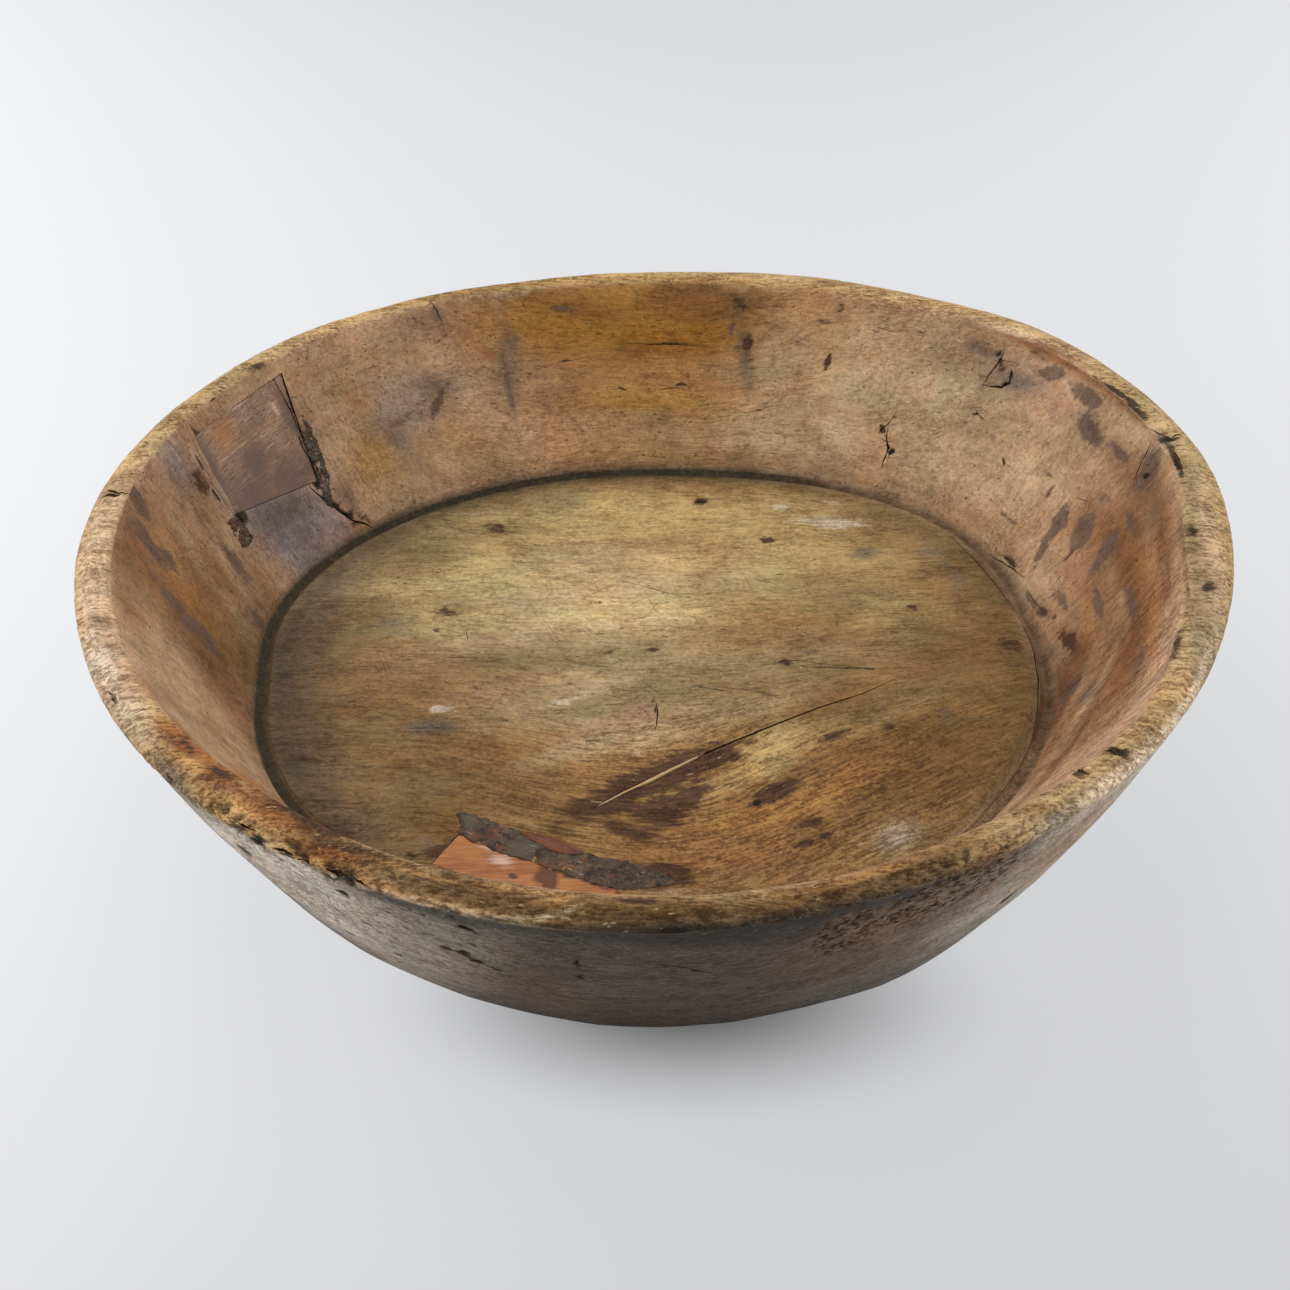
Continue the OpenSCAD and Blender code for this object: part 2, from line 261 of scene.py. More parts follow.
@dataclass(frozen=True)
class BowlForm:
    """Sizes and outlines of the bowl, in millimetres, as its frame has them."""

    length: float = 600.0
    width: float = 582.0
    height: float = 146.0
    rim_t: float = 24.0
    rim_fall: float = 7.0
    rim_crown: float = 1.5
    rim_in_r: float = 5.0
    rim_out_r: float = 7.0
    hollow_d: float = 90.0
    floor_l: float = 412.0
    floor_w: float = 396.0
    floor_dish: float = 2.0
    wall_hollow: float = 2.0
    groove_w: float = 9.0
    groove_d: float = 3.0
    groove_rise: float = 4.0
    base_l: float = 430.0
    base_w: float = 418.0
    base_r: float = 7.0
    wall_belly: float = 4.0
    rim_share: tuple = (0.993, 1.029, 1.051, 1.062, 1.038, 1.018, 0.996, 0.984, 1.003, 1.015, 1.01,
                        1.007, 1, 0.993, 0.995, 0.994, 0.988, 0.99, 0.996, 0.981, 0.966, 0.961,
                        0.962, 0.968)
    rim_t_share: tuple = (1.19, 0.97, 0.84, 0.9, 1.02, 1.04, 0.85, 0.68, 0.75, 0.83, 0.78, 0.76,
                          0.82, 0.84, 0.92, 0.92, 0.76, 0.7, 0.75, 0.66, 0.64, 0.68, 0.74, 0.96)
    rim_fall_share: tuple = (1,) * 14 + (1.05, 1.15, 1.4, 1.4, 1.1) + (1,) * 5
    floor_share: tuple = (0.985, 0.998, 1.048, 1.07, 1.052, 1.019, 1, 1.01, 1.014, 1.027, 1.039,
                          1.031, 1, 1.009, 1.016, 1, 1, 0.99, 0.99, 0.99, 0.985, 0.975, 0.966, 0.974)
    base_share: tuple = (1, 1.01, 1.02, 1.03, 1.02, 1.01, 1, 0.99, 1, 1.01, 1.01, 1, 1, 1, 1, 1.008,
                         1.003, 1.005, 1.005, 0.997, 1, 1, 0.99, 0.99)

    @property
    def floor_z(self) -> float:
        """Height of the floor's edge."""
        return self.height - self.hollow_d

    def sharp(self) -> tuple[float, float, float]:
        """Length, width and height to the corners that the worn rounds take off."""
        lean = math.atan2((self.length - self.base_l) / 2, self.height - self.rim_fall)
        fall = math.atan2(self.rim_fall, self.rim_t)
        slope = math.atan2(self.hollow_d - self.groove_rise,
                           (self.length - self.floor_l) / 2 - self.groove_w - self.rim_t)

        def worn(a: float, b: float) -> float:
            """What a round of two reaches takes off a corner."""
            return a * b / (a + b)

        edge = worn(self.rim_out_r * math.sin(lean), self.rim_out_r * math.cos(fall))
        crest = worn(self.rim_in_r * math.sin(fall), self.rim_in_r * math.sin(slope))
        return self.length + 2 * edge, self.width + 2 * edge, self.height + crest

    def oval(self, length: float, width: float, share: tuple, bearing: np.ndarray) -> np.ndarray:
        """Points of the plan on an oval times a table of shares.

        Args:
            length: The oval's length.
            width: Its width.
            share: Shares of its reach round the bowl.
            bearing: Bearings in degrees.

        Returns:
            Points of two coordinates.
        """
        cos, sin = np.cos(np.radians(bearing)), np.sin(np.radians(bearing))
        radius = length * width / 2 / np.hypot(width * cos, length * sin) * along(share, bearing)
        return np.stack([cos * radius, sin * radius], -1)

    def rim_edge(self, bearing: np.ndarray) -> np.ndarray:
        """The rim's outer outline, fitted to the bowl's length and width.

        Args:
            bearing: Bearings in degrees.

        Returns:
            Points of two coordinates.
        """
        length, width, _ = self.sharp()
        rough = self.oval(length, width, self.rim_share, np.arange(96) * 3.75)
        low, high = rough.min(0), rough.max(0)
        spot = self.oval(length, width, self.rim_share, bearing) - (low + high) / 2
        return spot * np.array([length, width]) / (high - low)

    def corners(self, bearing: np.ndarray) -> dict[str, np.ndarray]:
        """Corners of the section at each bearing.

        Args:
            bearing: Bearings in degrees.

        Returns:
            Points of the heel, brow, crest, foot and floor edge.
        """
        def at(plan: np.ndarray, z: "float | np.ndarray") -> np.ndarray:
            """Points of a plan at a height."""
            return np.column_stack([plan, np.broadcast_to(z, len(plan))])

        out = np.stack([np.cos(np.radians(bearing)), np.sin(np.radians(bearing))], -1)
        top = self.sharp()[2]
        brow = self.rim_edge(bearing)
        reach = np.linalg.norm(brow, axis=1, keepdims=True)
        crest = brow * (1 - self.rim_t * along(self.rim_t_share, bearing)[:, None] / reach)
        edge = self.oval(self.floor_l, self.floor_w, self.floor_share, bearing)
        return {
            "out": at(out, 0.0),
            "heel": at(self.oval(self.base_l, self.base_w, self.base_share, bearing), 0.0),
            "brow": at(brow, top - self.rim_fall * along(self.rim_fall_share, bearing)),
            "crest": at(crest, top),
            "foot": at(edge + out * self.groove_w, self.floor_z + self.groove_rise),
            "edge": at(edge, self.floor_z),
        }

    def section(self, bearing: np.ndarray) -> list[np.ndarray]:
        """Rings of the bowl's skin, from near the middle of the base round to that of the floor.

        Args:
            bearing: Bearings in degrees.

        Returns:
            Points of each ring at each bearing.
        """
        c = self.corners(bearing)
        out = c["out"]

        def lerp(a: np.ndarray, b: np.ndarray, s: float) -> np.ndarray:
            """Points between a and b."""
            return a + (b - a) * s

        def toward(a: np.ndarray, b: np.ndarray, reach: float) -> np.ndarray:
            """Points so far from a on the way to b."""
            return a + (b - a) * reach / np.linalg.norm(b - a, axis=1, keepdims=True)

        def bend(a: np.ndarray, corner: np.ndarray, b: np.ndarray, s: float) -> np.ndarray:
            """Points on a curve from a to b that leans to a corner."""
            return lerp(lerp(a, corner, s), lerp(corner, b, s), s)

        heel, brow, crest, foot, edge = (c[k] for k in ("heel", "brow", "crest", "foot", "edge"))
        heel_in, heel_up = heel - out * self.base_r, toward(heel, brow, self.base_r)
        brow_low, brow_top = toward(brow, heel, self.rim_out_r), toward(brow, crest, self.rim_out_r)
        crest_top, crest_low = toward(crest, brow, self.rim_in_r), toward(crest, foot, self.rim_in_r)
        up = np.array([0.0, 0.0, 1.0])
        rings = [heel_in * s for s in (0.2, 0.5, 0.8, 0.95)]
        rings += [bend(heel_in, heel, heel_up, s) for s in np.linspace(0, 1, 5)]
        rings += [lerp(heel_up, brow_low, s) + out * self.wall_belly * swell(s)
                  for s in np.linspace(0, 1, 31)[1:-1]]
        rings += [bend(brow_low, brow, brow_top, s) for s in np.linspace(0, 1, 8)]
        rings += [lerp(brow_top, crest_top, s) + up * self.rim_crown * swell(s)
                  for s in np.linspace(0, 1, 10)[1:-1]]
        rings += [bend(crest_top, crest, crest_low, s) for s in np.linspace(0, 1, 7)]
        rings += [lerp(crest_low, foot, s) + out * self.wall_hollow * swell(s)
                  for s in np.linspace(0, 1, 27)[1:]]
        groove = ((0.93, 0.55), (0.86, 0.15), (0.75, -0.35), (0.58, -0.8), (0.4, -1.0), (0.22, -0.75),
                  (0.1, -0.3))
        for across, level in groove:
            z = level * (self.groove_rise if level > 0 else self.groove_d)
            rings.append(edge + out * self.groove_w * across + up * z)
        rings += [edge * [s, s, 1] - up * self.floor_dish * (1 - s * s)
                  for s in np.linspace(1, 0.02, 31)]
        return rings


class Zone(Enum):
    """Parts of the bowl's skin."""

    BASE = 0
    OUTSIDE = 1
    RIM = 2
    WALL = 3
    GROOVE = 4
    FLOOR = 5


ARC = 290.0
WALL_SLOPE = math.radians(54.5)
OUTSIDE_LEAN = math.radians(30)
JOINED_ZONES = {Zone.WALL: (Zone.WALL, Zone.GROOVE), Zone.GROOVE: (Zone.GROOVE, Zone.WALL)}


def short_way(du: "float | np.ndarray") -> "float | np.ndarray":
    """A difference along the bowl's round, taken the short way."""
    turn = 2 * math.pi * ARC
    return np.mod(du + turn / 2, turn) - turn / 2


@lru_cache(maxsize=1)
def corner_table(form: BowlForm) -> dict[str, tuple[np.ndarray, np.ndarray, np.ndarray]]:
    """Reads the corners of the form's section all the way round.

    Args:
        form: The bowl's form.

    Returns:
        Bearings, reaches and heights of each corner, in the order of the bearings.
    """
    table = {}
    for name, spots in form.corners(np.linspace(0, 360, 721)[:-1]).items():
        x, y, z = spots.T
        bearing = np.mod(np.degrees(np.arctan2(y, x)), 360.0)
        order = np.argsort(bearing)
        table[name] = (bearing[order], np.hypot(x, y)[order], z[order])
    return table


class Chart:
    """Where points lie on the bowl's skin: zones and coordinates along each of them."""

    def __init__(self, form: BowlForm, points: np.ndarray) -> None:
        """Reads the points.

        Args:
            form: The bowl's form.
            points: Points in millimetres.
        """
        corners = corner_table(form)
        self.points = points
        x, y, z = points.T
        self.bearing = np.mod(np.degrees(np.arctan2(y, x)), 360.0)
        self.reach = np.hypot(x, y)

        def at(name: str, measure: int = 1) -> np.ndarray:
            """Reach or height of a corner at the bearings of the points."""
            return np.interp(self.bearing, corners[name][0], corners[name][measure], period=360.0)

        crest, brow, brow_z = at("crest"), at("brow"), at("brow", 2)
        foot, edge, heel = at("foot"), at("edge"), at("heel")
        foot_z = form.floor_z + form.groove_rise
        inner = foot + (crest - foot) * (z - foot_z) / (form.height - foot_z)
        outer = heel + (brow - heel) * z / brow_z
        self.across = (self.reach - crest) / (brow - crest)
        top = form.height + (brow_z - form.height) * np.clip(self.across, 0, 1)
        self.below_top = top - z
        self.past_edge = self.reach - edge
        self.past_foot = self.reach - foot
        inside = (self.reach < (inner + outer) / 2) & (z > form.floor_z - 12)
        rim = (self.below_top < 4.0) & (self.reach > crest - 2.5)
        zone = np.where(inside, Zone.WALL.value, Zone.OUTSIDE.value)
        zone = np.where(inside & (self.past_foot < 0.5), Zone.GROOVE.value, zone)
        zone = np.where(inside & (self.past_edge < 0), Zone.FLOOR.value, zone)
        zone = np.where(rim, Zone.RIM.value, zone)
        self.zone = np.where(z < 0.5, Zone.BASE.value, zone)
        flat = self.zone == Zone.FLOOR.value
        self.u = np.where(flat, x, np.radians(self.bearing) * ARC)
        self.v = np.select(
            [flat, self.zone == Zone.RIM.value, self.zone == Zone.OUTSIDE.value],
            [y, self.reach - crest, z / math.cos(OUTSIDE_LEAN)],
            (z - foot_z) / math.sin(WALL_SLOPE))
        self.rim = soft_step(self.reach - crest, -2.5, 1.0) * soft_step(-self.below_top, -7.5, -3.0)
        self.outside = np.where(inside, 0.0, 1.0) * (1 - self.rim)
        self.groove = np.where(
            inside, soft_step(self.past_edge, 0.0, 4.5) * soft_step(-self.past_foot, -0.5, 3.5), 0.0)
        self.floor = np.where(inside, soft_step(-self.past_edge, -1.0, 2.0), 0.0)

    def far(self, blot: "Blot") -> np.ndarray:
        """Distance of each point from a blot's middle, in the blot's own half sizes.

        Args:
            blot: The blot.

        Returns:
            The distances; points of other zones are far off.
        """
        if blot.zone is Zone.FLOOR:
            du = self.u - blot.u
        else:
            du = short_way(self.u - math.radians(blot.u) * ARC)
        dv = self.v - blot.v
        cos, sin = math.cos(math.radians(blot.turn)), math.sin(math.radians(blot.turn))
        far = np.hypot((du * cos + dv * sin) / blot.long, (dv * cos - du * sin) / blot.short)
        kept = np.isin(self.zone, [z.value for z in JOINED_ZONES.get(blot.zone, (blot.zone,))])
        return np.where(kept, far, 99.0)

    def field(self, blots: "Sequence[Blot]") -> np.ndarray:
        """The strongest of some blots at each point: 0.5 at a blot's edge, 0 at twice its reach.

        Args:
            blots: The blots.

        Returns:
            The strength at each point.
        """
        total = np.zeros(len(self.points))
        for blot in blots:
            total = np.maximum(total, blot.strength * np.clip(1 - self.far(blot) / 2, 0, 1))
        return total


@dataclass(frozen=True)
class Blot:
    """A place on the skin, in millimetres and degrees.

    On the floor u and v are x and y. Elsewhere u is the bearing, and v goes up the wall from its
    foot, out across the rim from its crest, or up the outside from the base.
    """

    zone: Zone
    u: float
    v: float
    long: float
    short: float
    turn: float = 0.0
    strength: float = 1.0


def blots(zone: Zone, rows: tuple) -> list[Blot]:
    """Blots of one zone from rows of their numbers."""
    return [Blot(zone, *row) for row in rows]


# Making of meshes


def shown(obj: bpy.types.Object) -> bpy.types.Object:
    """Makes an object the only one selected.

    Args:
        obj: The object.

    Returns:
        The same object.
    """
    bpy.ops.object.select_all(action="DESELECT")
    obj.select_set(True)
    bpy.context.view_layer.objects.active = obj
    return obj


@contextmanager
def editing(obj: bpy.types.Object, faces: "np.ndarray | None" = None) -> Iterator[None]:
    """Holds an object in edit mode with only the given faces selected, or else all of it.

    Args:
        obj: The object.
        faces: Whether each face is selected.

    Returns:
        Nothing; the object is in edit mode meanwhile.
    """
    shown(obj)
    bpy.context.scene.tool_settings.mesh_select_mode = (False, False, True)
    bpy.ops.object.mode_set(mode="EDIT")
    bpy.ops.mesh.select_all(action="SELECT" if faces is None else "DESELECT")
    bpy.ops.object.mode_set(mode="OBJECT")
    if faces is not None:
        obj.data.polygons.foreach_set("select", faces)
    bpy.ops.object.mode_set(mode="EDIT")
    yield
    bpy.ops.object.mode_set(mode="OBJECT")


def vectors(items: bpy.types.bpy_prop_collection, key: str) -> np.ndarray:
    """Reads one vector of each item of a mesh.

    Args:
        items: The items, such as points or faces.
        key: What they call the vector.

    Returns:
        The vectors, as rows.
    """
    flat = np.zeros(len(items) * 3)
    items.foreach_get(key, flat)
    return flat.reshape(-1, 3)


def coordinates(obj: bpy.types.Object) -> np.ndarray:
    """An object's points, in metres."""
    return vectors(obj.data.vertices, "co")


def move_points(obj: bpy.types.Object, points: np.ndarray) -> None:
    """Moves an object's points, in metres."""
    obj.data.vertices.foreach_set("co", points.ravel())
    obj.data.update()


def store(obj: bpy.types.Object, name: str, values: np.ndarray, kind: str = "FLOAT",
          key: str = "value") -> None:
    """Keeps values at an object's points, for the finish to read.

    Args:
        obj: The object.
        name: The attribute's name.
        values: A number or a row of numbers for each point.
        kind: The attribute's type.
        key: What its items call their numbers.
    """
    layer = obj.data.attributes.new(name, kind, "POINT")
    layer.data.foreach_set(key, values.astype(np.float32).ravel())


def apply_modifier(obj: bpy.types.Object, kind: str, **settings: object) -> None:
    """Adds a modifier and applies it.

    Args:
        obj: The object.
        kind: The modifier's type.
        settings: Its properties.
    """
    shown(obj)
    modifier = obj.modifiers.new(kind.title(), kind)
    for key, value in settings.items():
        setattr(modifier, key, value)
    bpy.ops.object.modifier_apply(modifier=modifier.name)


def fractal(points: np.ndarray, size: float, octaves: int = 3, seed: float = 0.0) -> np.ndarray:
    """Fractal noise of about -1 to 1.

    Args:
        points: Points in millimetres.
        size: Size of its largest lumps, in millimetres.
        octaves: Number of finer layers.
        seed: Shift that makes another pattern.

    Returns:
        The noise at each point.
    """
    shift = Vector((seed, seed * 1.7, seed * 0.3))
    return np.array([noise.fractal(Vector(p) / size + shift, 1.0, 2.0, octaves) for p in points])


def scoops(points: np.ndarray, size: float, seed: float = 0.0) -> np.ndarray:
    """Height of a skin hewn in scoops: 0 on the ridges between them and -1 in their middles.

    Args:
        points: Points in millimetres.
        size: Size of the scoops.
        seed: Shift that makes another pattern.

    Returns:
        The height at each point.
    """
    shift = Vector((seed, seed * 0.7, -seed))
    near = np.array([noise.voronoi(Vector(p) / size + shift)[0][0] for p in points])
    return -np.clip(1 - (near / 0.85) ** 2, 0, 1)


def slab(name: str, outline: Outline, face: float, back: float,
         place: "Matrix | None" = None) -> bpy.types.Object:
    """Makes a closed flat piece.

    Args:
        name: Its name.
        outline: Its outline, in millimetres.
        face: Height of its face.
        back: Height of its back.
        place: Where it goes, in millimetres, if it goes there now.

    Returns:
        The piece.
    """
    bpy.ops.mesh.primitive_circle_add(vertices=len(outline), radius=1.0, fill_type="NGON")
    obj = bpy.context.object
    obj.name = obj.data.name = name
    move_points(obj, np.array([(x, y, face) for x, y in outline], float))
    with editing(obj):
        bpy.ops.mesh.extrude_region_move(TRANSFORM_OT_translate={"value": (0, 0, back - face)})
        bpy.ops.mesh.select_all(action="SELECT")
        bpy.ops.mesh.normals_make_consistent(inside=False)
    return obj if place is None else placed(obj, place)


def placed(obj: bpy.types.Object, place: Matrix) -> bpy.types.Object:
    """Brings a piece made in millimetres to its place, in metres.

    Args:
        obj: The piece.
        place: Where it goes, in millimetres.

    Returns:
        The piece.
    """
    obj.data.transform(Matrix.Scale(MM, 4) @ place)
    obj.data.update()
    return obj


def worn(obj: bpy.types.Object, voxel: float, lumps: Sequence[tuple[float, float]],
         seed: float) -> bpy.types.Object:
    """Rounds a piece's corners and roughens its skin.

    Args:
        obj: The piece, in millimetres.
        voxel: Size of its new faces.
        lumps: Sizes and depths of its lumps.
        seed: Shift of their pattern.

    Returns:
        The piece.
    """
    apply_modifier(obj, "REMESH", mode="VOXEL", voxel_size=voxel)
    apply_modifier(obj, "SMOOTH", factor=0.5, iterations=2)
    points, out = coordinates(obj), vectors(obj.data.vertex_normals, "vector")
    height = sum(fractal(points, size, 3, seed + size) * depth for size, depth in lumps)
    move_points(obj, points + out * height[:, None])
    shown(obj)
    bpy.ops.object.shade_smooth()
    return obj


def drape(obj: bpy.types.Object, skin: bpy.types.Object, place: Matrix,
          sink: Callable[[np.ndarray, np.ndarray], "np.ndarray | float"]) -> None:
    """Bends a piece so that its face follows the skin that it is let into.

    Args:
        obj: The piece, in millimetres.
        skin: The bowl's skin, before it is cut.
        place: Where the piece goes.
        sink: How far its face lies under the skin at x and y.
    """
    cells, above, reach = 16, 15.0, 0.04
    points = coordinates(obj)
    top = points[:, 2].max()
    way = -(place.to_3x3() @ Vector((0, 0, 1)))
    xs, ys = (np.linspace(points[:, k].min(), points[:, k].max(), cells + 1) for k in (0, 1))
    level = np.zeros((cells + 1, cells + 1))
    for a, x in enumerate(xs):
        for b, y in enumerate(ys):
            start = (place @ Vector((x, y, above))) * MM
            hit, spot, _, _ = skin.ray_cast(start, way, distance=reach)
            level[a, b] = (place.inverted() @ (spot / MM))[2] if hit else 0.0
    u, v = (np.clip((points[:, k] - line[0]) / (line[-1] - line[0]) * cells, 0, cells - 0.001)
            for k, line in enumerate((xs, ys)))
    a, b = u.astype(int), v.astype(int)
    u, v = u - a, v - b
    z = (level[a, b] * (1 - u) * (1 - v) + level[a + 1, b] * u * (1 - v)
         + level[a, b + 1] * (1 - u) * v + level[a + 1, b + 1] * u * v)
    upper = soft_step(points[:, 2], top - 4.0, top - 1.5)
    points[:, 2] += upper * (z - sink(points[:, 0], points[:, 1]))
    move_points(obj, points)


def wedge(name: str, line: np.ndarray, widths: Sequence[float], depth: float,
          up: Vector) -> bpy.types.Object:
    """Makes a cutter for a crack: open above the skin and narrow at its bottom.

    Args:
        name: Its name.
        line: Points of the crack on the skin, in millimetres.
        widths: Its width at each of them.
        depth: Depth of its middle; it is shallow at both ends.
        up: Way out of the wood.

    Returns:
        The cutter, in metres.
    """
    lift, foot, mouth = 3.0, 0.25, 1.3
    count = len(line)
    bpy.ops.mesh.primitive_grid_add(x_subdivisions=count - 1, y_subdivisions=1, size=1)
    obj = bpy.context.object
    obj.name = obj.data.name = name
    with editing(obj):
        bpy.ops.mesh.extrude_region_move(TRANSFORM_OT_translate={"value": (0, 0, -1)})
    sheet = coordinates(obj) + 0.5
    low = sheet[:, 2] < 0
    spot, side = np.round(sheet[:, 0] * (count - 1)).astype(int), sheet[:, 1] * 2 - 1
    out = np.array(up)
    across = np.cross(out, np.gradient(line, axis=0))
    across /= np.linalg.norm(across, axis=1, keepdims=True)
    half = (np.asarray(widths) / 2)[spot] * np.where(low, foot, mouth)
    sink = depth * (0.35 + 0.65 * np.sin(np.pi * (spot + 0.5) / count))
    points = line[spot] + across[spot] * (side * half)[:, None]
    points += out * np.where(low, -sink, lift)[:, None]
    move_points(obj, points * MM)
    with editing(obj):
        bpy.ops.mesh.normals_make_consistent(inside=False)
    return obj


def ribbon(line: Outline, widths: Sequence[float]) -> list[tuple[float, float]]:
    """Outline of a strip along a line, with a width at each of its points.

    Args:
        line: Points of the line.
        widths: Width of the strip at each of them.

    Returns:
        The outline.
    """
    spots = np.asarray(line, float)
    way = np.gradient(spots, axis=0)
    side = np.stack([-way[:, 1], way[:, 0]], -1) / np.linalg.norm(way, axis=1, keepdims=True)
    half = np.asarray(widths, float)[:, None] / 2
    return [tuple(p) for p in np.concatenate([spots - side * half, (spots + side * half)[::-1]])]


def joined(parts: list[bpy.types.Object], name: str) -> bpy.types.Object:
    """Joins objects into one.

    Args:
        parts: The objects.
        name: Name of the whole.

    Returns:
        The whole.
    """
    bpy.ops.object.select_all(action="DESELECT")
    for part in parts:
        part.select_set(True)
    bpy.context.view_layer.objects.active = parts[0]
    if len(parts) > 1:
        bpy.ops.object.join()
    parts[0].name = name
    return parts[0]


def seat(obj: bpy.types.Object, node: str) -> bpy.types.Object:
    """Gives a piece its body, hides the frame's part that it stands for, and reports it.

    Args:
        obj: The piece.
        node: The node.

    Returns:
        The piece.
    """
    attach(obj, "root")
    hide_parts(node)
    obj.data.calc_loop_triangles()
    LOG.info("%s for %s: %d triangles", obj.name, node, len(obj.data.loop_triangles))
    return obj


# Finishes


class Tone(Enum):
    """Colours of the bowl's wood, in linear light."""

    STRAW = (0.56, 0.42, 0.19)
    FLAX = (0.465, 0.33, 0.137)
    WHEAT = (0.386, 0.284, 0.146)
    TAN = (0.275, 0.15, 0.05)
    DRAB = (0.2, 0.135, 0.06)
    OLIVE = (0.185, 0.102, 0.04)
    BRONZE = (0.15, 0.072, 0.018)
    COPPER = (0.246, 0.12, 0.036)
    AMBER = (0.34, 0.15, 0.022)
    HONEY = (0.42, 0.21, 0.05)
    TOAST = (0.48, 0.27, 0.095)
    ROSE = (0.44, 0.27, 0.15)
    DUSK = (0.29, 0.17, 0.093)
    BUFF = (0.54, 0.36, 0.19)
    SAND = (0.42, 0.28, 0.155)
    CHESTNUT = (0.2, 0.086, 0.032)
    UMBER = (0.17, 0.083, 0.03)
    CLAY = (0.34, 0.195, 0.12)
    SLATE = (0.2, 0.178, 0.185)
    CREAM = (0.53, 0.36, 0.21)
    OAT = (0.43, 0.275, 0.12)
    GINGER = (0.42, 0.2, 0.062)
    RUSSET = (0.2, 0.105, 0.045)
    MOSS = (0.125, 0.066, 0.022)
    OCHRE = (0.18, 0.096, 0.03)
    RED = (0.13, 0.04, 0.016)
    FLAME = (0.42, 0.17, 0.035)
    GOLD = (0.5, 0.26, 0.085)
    PALE = (0.75, 0.59, 0.4)
    SHELL = (0.56, 0.43, 0.31)
    MAUVE = (0.2, 0.14, 0.125)
    BROWN = (0.2, 0.125, 0.072)
    BARK = (0.075, 0.038, 0.015)
    SMOKE = (0.088, 0.066, 0.048)
    IRON = (0.17, 0.145, 0.12)
    ASH = (0.6, 0.51, 0.4)
    LEAD = (0.34, 0.29, 0.22)
    COAL = (0.03, 0.024, 0.018)
    GROOVE = (0.06, 0.042, 0.022)


class Stain(Enum):
    """Kinds of stain; each is carried by the attribute of its name."""

    PLUM = "plum"
    SOOT = "soot"
    HAZE = "haze"
    CHALK = "chalk"
    RUST = "rust"
    WINE = "wine"


